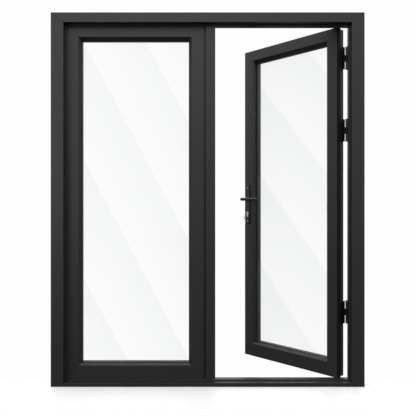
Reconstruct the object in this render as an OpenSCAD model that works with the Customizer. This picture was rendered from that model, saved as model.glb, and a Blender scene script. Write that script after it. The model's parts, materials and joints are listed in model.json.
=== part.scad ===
// French doors: an outward-opening aluminium double door in its frame, without the wall.
// X runs across the opening, Y from the room to the outside, Z up.
// The origin is the middle of the frame's underside. The right leaf stands open.
// Leaf parts are drawn closed, by u from the leaf's edge inwards, v from its room face
// outwards and Z, and the right leaf's are then swung about its hinge axis.

/* [Frame] */
// Width of the frame
frame_w = 1760; // [1460:10:2120]
// Height of the frame
frame_h = 2100; // [1750:10:2520]
// Face width of the jambs
jamb_face = 71; // [55:1:90]
// Face height of the head
head_face = 55; // [45:1:90]
// Height of the threshold
sill_h = 22; // [18:1:30]
// Wall of the frame extrusions
frame_wall = 2.5; // [2:0.1:3.2]
// Depth of the reveal in front of the stop rib
stop_y = 42; // [35:1:55]
// Thickness of the stop rib
stop_d = 8; // [6:0.5:12]
// Height of the stop rib above the reveal
stop_h = 8; // [7:0.5:10]
// Thickness of the stop seal
seal_t = 3.7; // [3:0.1:5]

/* [Leaves] */
// Thickness of a leaf
leaf_t = 64; // [62:1:80]
// Gap between a leaf and the frame
leaf_gap = 3; // [2.5:0.1:4]
// Face width of the stiles
stile_w = 68; // [64:1:85]
// Face height of the top rail
top_rail_w = 62; // [50:1:80]
// Face height of the bottom rail
bottom_rail_w = 78; // [60:1:120]
// Wall of the leaf extrusions
leaf_wall = 2.2; // [1.8:0.1:2.6]
// How far the right leaf stands open, in degrees
active_open = 50; // [0:1:100]

/* [Glazing] */
// Thickness of one pane
pane_t = 4; // [4:1:6]
// Width of the cavity between the panes
cavity = 20; // [12:1:20]
// Width of the glazing bead's sloping face
bead_w = 14; // [10:1:18]
// Thickness of the glazing gaskets
gasket_t = 3; // [2:0.5:4]
// Width of gasket that shows past the bead
gasket_show = 5; // [3:1:8]

/* [Meeting] */
// Middle of the mullion strip from the middle of the frame
strip_x = 16.9; // [0:0.1:30]
// Width of the mullion strip
strip_w = 52.6; // [48:0.1:60]
// Groove between the left leaf and the strip
strip_groove = 11.5; // [8:0.5:16]
// How far the strip laps over the right leaf
strip_lap = 5.2; // [4.5:0.1:6]
// Diameter of the shoot bolts
bolt_d = 12; // [8:1:14]
// Length of each shoot bolt
bolt_len = 340; // [200:10:500]
// Travel of each shoot bolt
bolt_throw = 18; // [12:1:20]

/* [Hinges] */
// Height of a hinge
hinge_h = 130; // [100:1:150]
// Radius of the hinge knuckles
knuckle_r = 8; // [7.5:0.5:9]
// Radius of the hinge pins
pin_r = 5; // [4:0.5:5]
// Distance of the hinge axis behind the frame
hinge_back = 20; // [17:1:24]
// Distance of the hinge axis into the jamb
hinge_out = 2; // [1.5:0.5:3]
// Thickness of the hinge wings
wing_t = 2.5; // [2:0.1:2.5]
// Height of the low hinge above the floor
low_hinge_z = 397; // [250:1:450]
// Distance of the middle hinge below the frame's top
mid_hinge_drop = 645; // [500:1:800]
// Distance of the top hinge below the frame's top
top_hinge_drop = 225; // [180:1:300]

/* [Lock and handle] */
// Height of the lever's axis
lever_z = 1061; // [950:1:1100]
// Distance from the lever's axis down to the cylinder
lever_to_cylinder = 92; // [85:1:92]
// Distance of the lever's axis from the leaf's edge
backset = 34; // [32:1:36]
// Thickness of the lock case
case_t = 16; // [15:1:17]
// Width of the handle's backplate
plate_w = 30; // [28:1:40]
// Height of the handle's backplate
plate_h = 260; // [240:1:280]
// Thickness of the handle's backplate
plate_t = 8; // [6:1:10]
// Length of the lever's grip
grip_len = 148; // [110:1:160]
// Radius of the lever's neck
neck_r = 11; // [9:0.5:12]
// Distance of the grip's middle from the leaf's face
grip_out = 74; // [50:1:80]
// Side of the square spindle
spindle_s = 8; // [7:1:9]
// Length of the outside pull between its posts
pull_h = 110; // [90:1:120]
// Radius of the outside pull's bar
pull_r = 6; // [5:0.5:7]
// Finger room behind the outside pull
pull_gap = 28; // [25:1:35]
// Travel of the latch bolt
latch_throw = 12; // [10:1:14]

/* [Hidden] */
$fn = 48;

// Colours
coat = "#2b2d30";
seal_black = "#141414";
steel = "#b9bcbf";
glass_tint = [0.85, 0.92, 0.95, 0.35];

// Clearances
seal_clear = 0.3;
slide_clear = 0.3;
run_clear = 0.05;
fit_clear = 0.02;

// Frame
reveal_x = frame_w / 2 - jamb_face;
head_z = frame_h - head_face;
leaf_y = stop_y + stop_d + seal_t + seal_clear;
frame_d = leaf_y + leaf_t;
web_y = stop_y + stop_d / 2;

// Leaf outline, and places along its thickness
leaf_bottom = sill_h + leaf_gap;
leaf_top = head_z - leaf_gap;
leaf_h = leaf_top - leaf_bottom;
leaf_edge_x = reveal_x - leaf_gap;
lip_t = 3;
lip_w = bead_w + 4;
edge_groove = [3, 14];
edge_groove_d = 6;
edge_back_v = 34;
edge_back_d = 4;
chamber_u = edge_groove_d + leaf_wall;
leaf_web_v = edge_back_v - 4;

// Meeting of the leaves
strip_left = strip_x - strip_w / 2;
strip_right = strip_x + strip_w / 2;
passive_edge_x = strip_left - strip_groove;
active_edge_x = strip_right - strip_lap;
stem_gap = 7;
stem_right = active_edge_x - stem_gap;
stem_front = leaf_y + edge_groove[1];
stem_back = frame_d - 6;
cap_t = 5;
end_gap = 3;
strip_bottom = sill_h + stop_h + end_gap;
strip_top = head_z - stop_h - end_gap;
bolt_off = 5;
bolt_x = (passive_edge_x + stem_right) / 2 + bolt_off;
bolt_y = (stem_front + stem_back) / 2;
bolt_tip = 2;
thumb_w = 8;
thumb_len = 24;
thumb_out = 1.5;
keep_t = 2.5;

// Widths of the leaves
active_w = leaf_edge_x - active_edge_x;
passive_w = leaf_edge_x + passive_edge_x;

// Glazing, by v
unit_t = 2 * pane_t + cavity;
pane_gap = 5;
unit_v = leaf_t - lip_t - gasket_t - unit_t;
bead_d = unit_v - gasket_t;
bead_wall = 1.6;
bead_mitre = 0.1;
gasket_in = 2;

// Hinges
axis_x = reveal_x + hinge_out;
axis_y = frame_d + hinge_back;
hinge_z = [low_hinge_z, frame_h - mid_hinge_drop, frame_h - top_hinge_drop];
axis_u = -(hinge_out + leaf_gap);
axis_v = leaf_t + hinge_back;
knuckle_h = hinge_h / 3;
axial_clear = 0.15;
flange_t = 1.5;
bush_wall = 1.5;
wing_v = edge_back_v + 2;
wing_screw_v = (wing_v + leaf_t) / 2;
wing_clear = 0.5;
arm_back = 4;
arm_u = 0.5;
wing_inset = 1;
screw_r = 2.4;
screw_head_r = 4.4;
screw_len = 14;
screw_dz = [-48, -16, 16, 48];

// Lock
cylinder_z = lever_z - lever_to_cylinder;
lock_v = (edge_groove[1] + edge_back_v) / 2;
face_w = 18;
face_t = 2.5;
face_z = [lever_z - 161, lever_z + 79];
face_screw_z = [face_z[0] + 10, face_z[1] - 10];
face_screw_len = 7.5;
case_z = [lever_z - 136, lever_z + 54];
case_u = [face_t + 0.2, backset + 20];
case_wall = 1.5;
follower_r = 9;
latch_size = [50, 12, 20];
latch_z = lever_z + 25;
dead_size = [45, 12, 22];
dead_z = cylinder_z + 31;
plug_r = 6.5;
barrel_r = 8.5;
barrel_drop = 24.5;
cam_r = 14;
cam_w = 9;
spindle_v = lock_v + case_t / 2 + 4;

// Handle and keys
plate_z = (lever_z + cylinder_z) / 2 + 11;
plate_screw_dz = plate_h / 2 - 20;
plate_screw_r = 2.5;
grip_tip_r = 7;
key_t = 2.2;
bow_r = 11;
bow_hole_r = 3;
bow_hole_off = 6.5;
blade_len = 24;
blade_h = 8;
ring_r = 10;
ring_wire = 0.9;

// ---- Placing ----

module in_frame() { translate([0, -frame_d / 2, 0]) children(); }

// Both sides of the frame, from what is drawn at the left one
module on_both_sides() { in_frame() for (side = [0, 1]) mirror([side, 0, 0]) children(); }

// Swings what is drawn closed about the right hinge axis
module on_active() {
  in_frame() translate([axis_x, axis_y, 0]) rotate([0, 0, -active_open])
    translate([-axis_x, -axis_y, 0]) children();
}

// u, v, Z from the free edge of the right leaf, and from the hinge edges
module at_lock() { on_active() translate([active_edge_x, leaf_y, 0]) children(); }
module at_active_hinge() {
  on_active() translate([leaf_edge_x, leaf_y, 0]) mirror([1, 0, 0]) children();
}
module at_passive_hinge() { in_frame() translate([-leaf_edge_x, leaf_y, 0]) children(); }
module at_passive_meeting() {
  in_frame() translate([passive_edge_x, leaf_y, 0]) mirror([1, 0, 0]) children();
}
module at_active_leaf() { on_active() translate([active_edge_x, leaf_y, leaf_bottom]) children(); }
module at_passive_leaf() { in_frame() translate([-leaf_edge_x, leaf_y, leaf_bottom]) children(); }

// ---- Shared shapes ----

module block(low, high) { translate(low) cube(high - low); }

// A prism along Y whose outline is drawn in X and Z
module outline_y(points, y0, y1) {
  translate([0, y1, 0]) rotate([90, 0, 0]) linear_extrude(y1 - y0) polygon(points);
}

module rod_y(r, y0, y1) { translate([0, y1, 0]) rotate([90, 0, 0]) cylinder(r = r, h = y1 - y0); }
module rod_x(r, x0, x1) { translate([x0, 0, 0]) rotate([0, 90, 0]) cylinder(r = r, h = x1 - x0); }

// A flat rectangular ring between v0 and v1, inset from a leaf's four face edges
module leaf_ring(w, out, in, v0, v1) {
  difference() {
    block([stile_w + out, v0, bottom_rail_w + out], [w - stile_w - out, v1, leaf_h - top_rail_w - out]);
    block([stile_w + in, v0 - 1, bottom_rail_w + in],
      [w - stile_w - in, v1 + 1, leaf_h - top_rail_w - in]);
  }
}

// A countersunk screw along +X with its head's top at 0
module screw_x(length) {
  rotate([0, 90, 0]) union() {
    cylinder(r1 = screw_head_r, r2 = screw_r, h = screw_head_r - screw_r);
    cylinder(r = screw_r, h = length);
  }
}
module screw_hole_x(length) {
  rotate([0, 90, 0]) union() {
    translate([0, 0, -0.01]) cylinder(r1 = screw_head_r + 0.1, r2 = screw_r + 0.1,
      h = screw_head_r - screw_r);
    translate([0, 0, -0.01]) cylinder(r = screw_r + 0.1, h = length + 1);
  }
}

// ---- Frame ----

// Section of a jamb or head: u from the outside of the frame to its reveal
module frame_section(face) {
  difference() {
    polygon([[0, 0], [face, 0], [face, stop_y], [face + stop_h, stop_y],
      [face + stop_h, stop_y + stop_d], [face, stop_y + stop_d], [face, frame_d], [0, frame_d]]);
    translate([frame_wall, frame_wall])
      square([face - 2 * frame_wall, web_y - 1.5 * frame_wall]);
    translate([frame_wall, web_y + frame_wall / 2])
      square([face - 2 * frame_wall, frame_d - web_y - 1.5 * frame_wall]);
  }
}

fixing_z = [150, frame_h * 0.36, frame_h * 0.58, frame_h - 130];
fixing_y = frame_d - 28;
fixing_r = 4.25;

module frame_jamb() {
  rib_in = jamb_face + stop_h;
  difference() {
    translate([-frame_w / 2, 0, 0]) intersection() {
      linear_extrude(frame_h) frame_section(jamb_face);
      outline_y([[0, 0], [0, frame_h], [jamb_face, head_z], [rib_in, head_z - stop_h], [rib_in, 0]],
        -1, frame_d + 1);
    }
    for (z = fixing_z) translate([0, fixing_y, z])
      rod_x(fixing_r, -frame_w / 2 - 1, -reveal_x + 1);
    for (z = hinge_z, dz = screw_dz) translate([0, leaf_y + wing_screw_v, z + dz])
      rod_x(screw_r + 0.1, -reveal_x - frame_wall - 1, -reveal_x + 1);
  }
}
module jamb_left() { color(coat) in_frame() frame_jamb(); }
module jamb_right() { color(coat) in_frame() mirror([1, 0, 0]) frame_jamb(); }

module head() {
  rib_in = head_face + stop_h;
  color(coat) in_frame() difference() {
    intersection() {
      translate([-frame_w / 2, 0, frame_h]) rotate([0, 90, 0])
        linear_extrude(frame_w) frame_section(head_face);
      outline_y([[-frame_w / 2, frame_h], [-reveal_x, head_z], [stop_h - reveal_x, head_z - stop_h],
        [reveal_x - stop_h, head_z - stop_h], [reveal_x, head_z], [frame_w / 2, frame_h]],
        -1, frame_d + 1);
    }
    translate([bolt_x, bolt_y, head_z - 1])
      cylinder(r = bolt_d / 2 + slide_clear, h = frame_wall + 2);
  }
}

module threshold() {
  color(coat) in_frame() difference() {
    union() {
      block([-reveal_x, 0, 0], [reveal_x, frame_d, sill_h]);
      block([stop_h - reveal_x, stop_y, sill_h],
        [reveal_x - stop_h, stop_y + stop_d, sill_h + stop_h]);
    }
    for (side = [-1, 1]) translate([side * (reveal_x - stop_h / 2), web_y, sill_h / 2])
      cube([stop_h, stop_d, sill_h + 2], center = true);
    block([-reveal_x - 1, frame_wall, frame_wall],
      [reveal_x + 1, web_y - frame_wall / 2, sill_h - frame_wall]);
    block([-reveal_x - 1, web_y + frame_wall / 2, frame_wall],
      [reveal_x + 1, frame_d - frame_wall, sill_h - frame_wall]);
    translate([bolt_x, bolt_y, sill_h - frame_wall - 1])
      cylinder(r = bolt_d / 2 + slide_clear, h = frame_wall + 2);
  }
}

module frame_seal() {
  seal_w = stop_h - 2;
  color(seal_black) in_frame() difference() {
    block([1 - reveal_x, stop_y + stop_d, sill_h + 1],
      [reveal_x - 1, stop_y + stop_d + seal_t, head_z - 1]);
    block([1 - reveal_x + seal_w, stop_y, sill_h + 1 + seal_w],
      [reveal_x - 1 - seal_w, leaf_y + 1, head_z - 1 - seal_w]);
  }
}

// One plate under the head and one on the threshold, each with a hole for its bolt
module shoot_bolt_keeps() {
  half = [19, 9];
  color(steel) in_frame() for (z = [sill_h, head_z - keep_t]) difference() {
    block([bolt_x - half[0], bolt_y - half[1], z], [bolt_x + half[0], bolt_y + half[1], z + keep_t]);
    translate([bolt_x, bolt_y, z - 1]) cylinder(r = bolt_d / 2 + slide_clear, h = keep_t + 2);
  }
}

module frame_corner_cleats() {
  play = frame_wall + 0.3;
  leg = 130;
  color(steel) on_both_sides() translate([-frame_w / 2, 0, 0]) outline_y([
    [play, frame_h - play], [leg, frame_h - play], [leg, head_z + play],
    [jamb_face - play, head_z + play], [jamb_face - play, frame_h - leg], [play, frame_h - leg]],
    play, web_y - frame_wall / 2 - 0.3);
}

// Plugs that close the feet of the jambs' chambers
module jamb_foot_plugs() {
  play = frame_wall + 0.2;
  foot = 0.5;
  plug_h = 8;
  color(seal_black) on_both_sides() translate([-frame_w / 2, 0, foot])
    for (y = [[play, web_y - frame_wall / 2 - 0.2], [web_y + frame_wall / 2 + 0.2, frame_d - play]])
      block([play, y[0], 0], [jamb_face - play, y[1], plug_h]);
}

// ---- Hinges, drawn for the left side ----

// Frame wing: a plate on the reveal, its knuckles above and below the leaf's
module frame_wing() {
  plate_back = axis_y - knuckle_r - wing_clear;
  difference() {
    union() {
      block([-reveal_x, leaf_y + wing_v - 2, wing_inset - hinge_h / 2],
        [wing_t - reveal_x, plate_back, hinge_h / 2 - wing_inset]);
      for (side = [-1, 1]) translate([0, 0, side * knuckle_h]) {
        block([-reveal_x, plate_back - 2, wing_inset - knuckle_h / 2],
          [wing_t - reveal_x, axis_y - arm_back, knuckle_h / 2 - wing_inset]);
        translate([-axis_x, axis_y, 0]) cylinder(r = knuckle_r, h = knuckle_h, center = true);
      }
    }
    translate([-axis_x, axis_y, 0]) cylinder(r = pin_r + fit_clear, h = hinge_h + 2, center = true);
    for (dz = screw_dz) translate([wing_t - reveal_x, leaf_y + wing_screw_v, dz])
      mirror([1, 0, 0]) screw_hole_x(screw_len);
  }
}
module hinge_frame_wings_right() {
  color(steel) in_frame() mirror([1, 0, 0]) for (z = hinge_z) translate([0, 0, z]) frame_wing();
}
module hinge_frame_wings_left() {
  color(steel) in_frame() for (z = hinge_z) translate([0, 0, z]) frame_wing();
}

module hinge_pin() {
  cylinder(r = pin_r, h = hinge_h, center = true);
  translate([0, 0, hinge_h / 2]) cylinder(r = knuckle_r, h = 3);
}
module hinge_pins() {
  color("silver") on_both_sides() for (z = hinge_z) translate([-axis_x, axis_y, z]) hinge_pin();
}
module hinge_frame_screws() {
  color("silver") on_both_sides() for (z = hinge_z, dz = screw_dz)
    translate([wing_t - reveal_x, leaf_y + wing_screw_v, z + dz])
      mirror([1, 0, 0]) screw_x(screw_len);
}

// Leaf wing: a plate in the edge's rear step, with the middle knuckle
module leaf_wing() {
  plate_u = edge_back_d - wing_t;
  leaf_knuckle_h = knuckle_h - 2 * (flange_t + axial_clear);
  plate_back = axis_v - knuckle_r - wing_clear;
  difference() {
    union() {
      block([plate_u, wing_v, -hinge_h / 2], [edge_back_d, plate_back, hinge_h / 2]);
      block([arm_u, plate_back - 1, -leaf_knuckle_h / 2],
        [edge_back_d, axis_v - arm_back, leaf_knuckle_h / 2]);
      translate([axis_u, axis_v, 0]) cylinder(r = knuckle_r, h = leaf_knuckle_h, center = true);
    }
    translate([axis_u, axis_v, 0])
      cylinder(r = pin_r + bush_wall + fit_clear, h = hinge_h, center = true);
    for (dz = screw_dz) translate([plate_u, wing_screw_v, dz]) screw_hole_x(screw_len);
  }
}

// Two flanged halves, one from each end of the leaf's knuckle
module hinge_bush() {
  half_h = knuckle_h / 2 - axial_clear;
  for (side = [0, 1]) mirror([0, 0, side]) difference() {
    union() {
      translate([0, 0, half_h - flange_t]) cylinder(r = knuckle_r, h = flange_t);
      translate([0, 0, 0.1]) cylinder(r = pin_r + bush_wall, h = half_h - 0.1);
    }
    cylinder(r = pin_r + run_clear, h = knuckle_h);
  }
}
module leaf_hinge_screws() {
  for (z = hinge_z, dz = screw_dz)
    translate([edge_back_d - wing_t, wing_screw_v, z + dz]) screw_x(screw_len);
}
module active_hinge_wings() {
  color(steel) at_active_hinge() for (z = hinge_z) translate([0, 0, z]) leaf_wing();
}
module passive_hinge_wings() {
  color(steel) at_passive_hinge() for (z = hinge_z) translate([0, 0, z]) leaf_wing();
}
module active_hinge_bushes() {
  color("white") at_active_hinge() for (z = hinge_z) translate([axis_u, axis_v, z]) hinge_bush();
}
module passive_hinge_bushes() {
  color("white") at_passive_hinge() for (z = hinge_z) translate([axis_u, axis_v, z]) hinge_bush();
}
module active_hinge_screws() { color("silver") at_active_hinge() leaf_hinge_screws(); }
module passive_hinge_screws() { color("silver") at_passive_hinge() leaf_hinge_screws(); }

// ---- Leaf extrusions ----

// Section of a stile or rail whose face is w wide, with the fixed glazing lip at the back
module leaf_section(w) {
  difference() {
    polygon([[0, 0], [w, 0], [w, leaf_t - lip_t], [w + lip_w, leaf_t - lip_t], [w + lip_w, leaf_t],
      [edge_back_d, leaf_t], [edge_back_d, edge_back_v], [0, edge_back_v], [0, edge_groove[1]],
      [edge_groove_d, edge_groove[1]], [edge_groove_d, edge_groove[0]], [0, edge_groove[0]]]);
    translate([chamber_u, leaf_wall])
      square([w - chamber_u - leaf_wall, leaf_web_v - leaf_wall]);
    translate([chamber_u, leaf_web_v + leaf_wall])
      square([w - chamber_u - leaf_wall, leaf_t - leaf_web_v - 2 * leaf_wall]);
  }
}

// A stile mitred to its rails, from its edge at u = 0
module stile_bar() {
  intersection() {
    translate([0, 0, leaf_bottom]) linear_extrude(leaf_h) leaf_section(stile_w);
    translate([0, 0, leaf_bottom]) outline_y([[0, 0], [stile_w, bottom_rail_w],
      [stile_w + lip_w, bottom_rail_w + lip_w], [stile_w + lip_w, leaf_h - top_rail_w - lip_w],
      [stile_w, leaf_h - top_rail_w], [0, leaf_h]], -1, leaf_t + 1);
  }
}
module hinge_stile() {
  difference() {
    stile_bar();
    for (z = hinge_z, dz = screw_dz) translate([0, wing_screw_v, z + dz])
      rod_x(screw_r + 0.1, 0, chamber_u + 1);
  }
}
module rail_bar(w, rail_w) {
  intersection() {
    rotate([0, 90, 0]) linear_extrude(w) leaf_section(rail_w);
    outline_y([[0, 0], [stile_w, -rail_w], [stile_w + lip_w, -rail_w - lip_w],
      [w - stile_w - lip_w, -rail_w - lip_w], [w - stile_w, -rail_w], [w, 0]], -1, leaf_t + 1);
  }
}
module top_rail(w) { translate([0, 0, leaf_h]) rail_bar(w, top_rail_w); }
module bottom_rail(w) { mirror([0, 0, 1]) rail_bar(w, bottom_rail_w); }

// ---- Glazing ----

bead_outline = [[0, 0], [3, 0], [bead_w, bead_w - 3], [bead_w, bead_d], [0, bead_d]];
bead_hollow = [[bead_wall, bead_wall], [2.4, bead_wall], [bead_w - bead_wall, bead_w - 2.4],
  [bead_w - bead_wall, bead_d - bead_wall], [bead_wall, bead_d - bead_wall]];

module bead_section() { difference() { polygon(bead_outline); polygon(bead_hollow); } }

// One bead along +X, its back edge at Z = 0 and its slope facing -Z, mitred at both ends
module bead(length) {
  m = bead_mitre;
  intersection() {
    rotate([0, 90, 0]) linear_extrude(length) bead_section();
    outline_y([[m, 0], [bead_w + m, -bead_w], [length - bead_w - m, -bead_w], [length - m, 0]],
      -1, leaf_t);
  }
}

// Four beads clipped in on the room side
module glazing_beads(w) {
  trim_x = w - 2 * stile_w;
  trim_z = leaf_h - top_rail_w - bottom_rail_w;
  translate([stile_w, 0, bottom_rail_w]) {
    translate([0, 0, trim_z]) bead(trim_x);
    mirror([0, 0, 1]) bead(trim_x);
    rotate([0, -90, 0]) bead(trim_z);
    translate([trim_x, 0, 0]) mirror([1, 0, 0]) rotate([0, -90, 0]) bead(trim_z);
  }
}
module glass_panes(w) {
  for (v = [unit_v, unit_v + pane_t + cavity])
    block([stile_w + pane_gap, v, bottom_rail_w + pane_gap],
      [w - stile_w - pane_gap, v + pane_t, leaf_h - top_rail_w - pane_gap]);
}
module glass_spacer(w) {
  leaf_ring(w, pane_gap + 3, pane_gap + 12, unit_v + pane_t, unit_v + pane_t + cavity);
}
module glazing_gaskets(w) {
  leaf_ring(w, gasket_in, bead_w + gasket_show, unit_v - gasket_t, unit_v);
  leaf_ring(w, gasket_in, lip_w + 1, unit_v + unit_t, unit_v + unit_t + gasket_t);
}
module setting_blocks(w) {
  block_len = 100;
  inset = 90;
  low = bottom_rail_w;
  high = leaf_h - top_rail_w;
  for (x = [stile_w + inset, w - stile_w - inset - block_len])
    block([x, unit_v + 1, low], [x + block_len, unit_v + unit_t - 1, low + pane_gap]);
  for (x = [stile_w, w - stile_w - pane_gap], z = [low + inset, high - inset - block_len])
    block([x, unit_v + 1, z], [x + pane_gap, unit_v + unit_t - 1, z + block_len]);
}

// An L in the front chamber of each mitred corner
module corner_cleats(w) {
  play = 0.3;
  leg = 130;
  near = chamber_u + play;
  su = stile_w - leaf_wall - play;
  for (side = [0, 1]) translate([side * w, 0, 0]) mirror([side, 0, 0]) {
    bz = bottom_rail_w - leaf_wall - play;
    tz = leaf_h - top_rail_w + leaf_wall + play;
    outline_y([[near, near], [leg, near], [leg, bz], [su, bz], [su, leg], [near, leg]],
      leaf_wall + play, leaf_web_v - play);
    outline_y([[near, leaf_h - near], [leg, leaf_h - near], [leg, tz], [su, tz],
      [su, leaf_h - leg], [near, leaf_h - leg]], leaf_wall + play, leaf_web_v - play);
  }
}

// ---- Right leaf ----

module active_hinge_stile() { color(coat) at_active_hinge() hinge_stile(); }
module active_top_rail() { color(coat) at_active_leaf() top_rail(active_w); }
module active_bottom_rail() { color(coat) at_active_leaf() bottom_rail(active_w); }
module active_glazing_beads() { color(coat) at_active_leaf() glazing_beads(active_w); }
module active_glass_panes() { color(glass_tint) at_active_leaf() glass_panes(active_w); }
module active_glass_spacer() { color(steel) at_active_leaf() glass_spacer(active_w); }
module active_glazing_gaskets() { color(seal_black) at_active_leaf() glazing_gaskets(active_w); }
module active_setting_blocks() { color("dimgray") at_active_leaf() setting_blocks(active_w); }
module active_corner_cleats() { color(steel) at_active_leaf() corner_cleats(active_w); }

module active_lock_stile() {
  play = 0.3;
  color(coat) at_lock() difference() {
    stile_bar();
    block([-1, lock_v - face_w / 2 - play, face_z[0] - play],
      [face_t, lock_v + face_w / 2 + play, face_z[1] + play]);
    block([0, lock_v - case_t / 2 - play, case_z[0] - play],
      [case_u[1] + play, lock_v + case_t / 2 + play, case_z[1] + play]);
    translate([backset, 0, lever_z]) rod_y(spindle_s, -1, spindle_v + 2);
    cylinder_profile(play, -1, leaf_t + 1);
    for (side = [-1, 1]) translate([backset, 0, plate_z + side * plate_screw_dz])
      rod_y(plate_screw_r + 0.1, -1, leaf_t + 1);
    for (z = face_screw_z) translate([0, lock_v, z]) rod_x(screw_r + 0.1, 0, face_screw_len + 0.5);
  }
}

// ---- Lock ----

// The keyhole-shaped body of the cylinder, larger all round by play
module cylinder_profile(play, v0, v1) {
  translate([backset, 0, cylinder_z]) union() {
    rod_y(barrel_r + play, v0, v1);
    block([-5 - play, v0, -barrel_drop + 5], [5 + play, v1, 0]);
    translate([0, 0, -barrel_drop + 5]) rod_y(5 + play, v0, v1);
  }
}
module bolt_block(size, z, u0, play) {
  block([u0 - play, lock_v - size[1] / 2 - play, z - size[2] / 2 - play],
    [u0 + size[0] + play, lock_v + size[1] / 2 + play, z + size[2] / 2 + play]);
}

module lock_case() {
  color(steel) at_lock() difference() {
    block([case_u[0], lock_v - case_t / 2, case_z[0]], [case_u[1], lock_v + case_t / 2, case_z[1]]);
    block([case_u[0] + case_wall, lock_v - case_t / 2 + case_wall, case_z[0] + case_wall],
      [case_u[1] - case_wall, lock_v + case_t / 2 - case_wall, case_z[1] - case_wall]);
    bolt_block(latch_size, latch_z, -latch_throw, slide_clear);
    bolt_block([20, dead_size[1], dead_size[2]], dead_z, 0, slide_clear);
    translate([backset, 0, lever_z]) rod_y(follower_r + run_clear, -1, leaf_t);
    cylinder_profile(slide_clear, 0, leaf_t);
  }
}
module lock_faceplate() {
  color(steel) at_lock() difference() {
    block([0, lock_v - face_w / 2, face_z[0]], [face_t, lock_v + face_w / 2, face_z[1]]);
    bolt_block(latch_size, latch_z, -latch_throw, slide_clear);
    bolt_block(dead_size, dead_z, -1, slide_clear);
    for (z = face_screw_z) translate([0, lock_v, z]) screw_hole_x(face_screw_len);
  }
}
module latch_bolt() {
  half_h = latch_size[2] / 2;
  half_w = latch_size[1] / 2;
  color("silver") at_lock() translate([-latch_throw, lock_v, latch_z - half_h])
    linear_extrude(latch_size[2]) polygon([[0, -half_w], [latch_size[0], -half_w],
      [latch_size[0], half_w], [latch_throw - 1, half_w], [1.5, 1 - half_w]]);
}
module deadbolt() { color("silver") at_lock() bolt_block(dead_size, dead_z, 0, 0); }
module lock_follower() {
  color(steel) at_lock() translate([backset, 0, lever_z]) difference() {
    rod_y(follower_r, lock_v - case_t / 2, lock_v + case_t / 2);
    block([-spindle_s / 2 - 0.1, 0, -spindle_s / 2 - 0.1],
      [spindle_s / 2 + 0.1, leaf_t, spindle_s / 2 + 0.1]);
  }
}
module cylinder_body() {
  color(steel) at_lock() difference() {
    cylinder_profile(0, -plate_t - 0.5, leaf_t + plate_t + 0.5);
    translate([backset, 0, cylinder_z]) {
      rod_y(plug_r + run_clear, -plate_t - 1, lock_v + cam_w / 2 + 0.5);
      block([-cam_r - 1, lock_v - cam_w / 2 - 0.5, -cam_r - 1],
        [cam_r + 1, lock_v + cam_w / 2 + 0.5, barrel_r + 1]);
    }
  }
}
module cylinder_plug() {
  color("silver") at_lock() translate([backset, 0, cylinder_z]) difference() {
    union() {
      rod_y(plug_r, -plate_t - 1.5, lock_v + cam_w / 2);
      rod_y(plug_r + 2, lock_v - cam_w / 2, lock_v + cam_w / 2);
      block([-4, lock_v - cam_w / 2, -cam_r + 1], [4, lock_v + cam_w / 2, 0]);
    }
    block([-key_t / 2 - 0.1, -plate_t - 3, -blade_h / 2 - 0.1],
      [key_t / 2 + 0.1, blade_len - plate_t - 1, blade_h / 2 + 0.1]);
  }
}

// ---- Handle ----

module backplate(v0, neck_hole) {
  stretch = plate_h / 2 - plate_w / 2;
  difference() {
    translate([backset, v0 + plate_t, plate_z]) rotate([90, 0, 0]) linear_extrude(plate_t) union() {
      square([plate_w, 2 * stretch], center = true);
      for (side = [-1, 1]) translate([0, side * stretch]) circle(r = plate_w / 2);
    }
    if (neck_hole) translate([backset, 0, lever_z]) rod_y(neck_r + 0.1, v0 - 1, v0 + plate_t + 1);
    cylinder_profile(slide_clear, v0 - 1, v0 + plate_t + 1);
    for (side = [-1, 1]) translate([backset, 0, plate_z + side * plate_screw_dz])
      rod_y(plate_screw_r + 0.1, v0 - 1, v0 + plate_t + 1);
  }
}
module handle_backplate_inside() { color(coat) at_lock() backplate(-plate_t, true); }
module handle_backplate_outside() { color(coat) at_lock() backplate(leaf_t, false); }
module handle_screws() {
  color("silver") at_lock() union() {
    for (side = [-1, 1]) translate([backset, 0, plate_z + side * plate_screw_dz]) {
      rod_y(plate_screw_r, -plate_t, leaf_t + plate_t);
      rod_y(plate_screw_r + 2, -plate_t - 1.5, -plate_t);
    }
    for (z = face_screw_z) translate([0, lock_v, z]) screw_x(face_screw_len);
  }
}

// A lever: neck out of the backplate, an elbow, and a grip that tapers to its end
module lever() {
  translate([backset, 0, lever_z]) difference() {
    union() {
      rod_y(neck_r, -grip_out, -plate_t / 2);
      translate([0, -grip_out, 0]) sphere(r = neck_r);
      translate([0, -grip_out, 0]) rotate([0, 90, 0])
        cylinder(r1 = neck_r, r2 = grip_tip_r, h = grip_len);
      translate([grip_len, -grip_out, 0]) sphere(r = grip_tip_r);
    }
    block([-spindle_s / 2 - 0.1, -grip_out + neck_r, -spindle_s / 2 - 0.1],
      [spindle_s / 2 + 0.1, 0, spindle_s / 2 + 0.1]);
  }
}
module lever_inside() { color(coat) at_lock() lever(); }
module handle_spindle() {
  reach = grip_out - neck_r - 1;
  color("silver") at_lock() translate([backset, 0, lever_z])
    block([-spindle_s / 2, -reach, -spindle_s / 2], [spindle_s / 2, spindle_v, spindle_s / 2]);
}

// A D-shaped pull: two posts on the outside backplate and an upright bar
module pull_outside() {
  v0 = leaf_t + plate_t;
  v1 = v0 + pull_gap + pull_r;
  color(coat) at_lock() translate([backset - plate_w / 2 + pull_r + 1, 0, lever_z]) union() {
    for (side = [-1, 1]) translate([0, 0, side * pull_h / 2]) {
      rod_y(pull_r, v0, v1);
      translate([0, v1, 0]) sphere(r = pull_r);
    }
    translate([0, v1, -pull_h / 2]) cylinder(r = pull_r, h = pull_h);
  }
}

// ---- Keys ----

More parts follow.
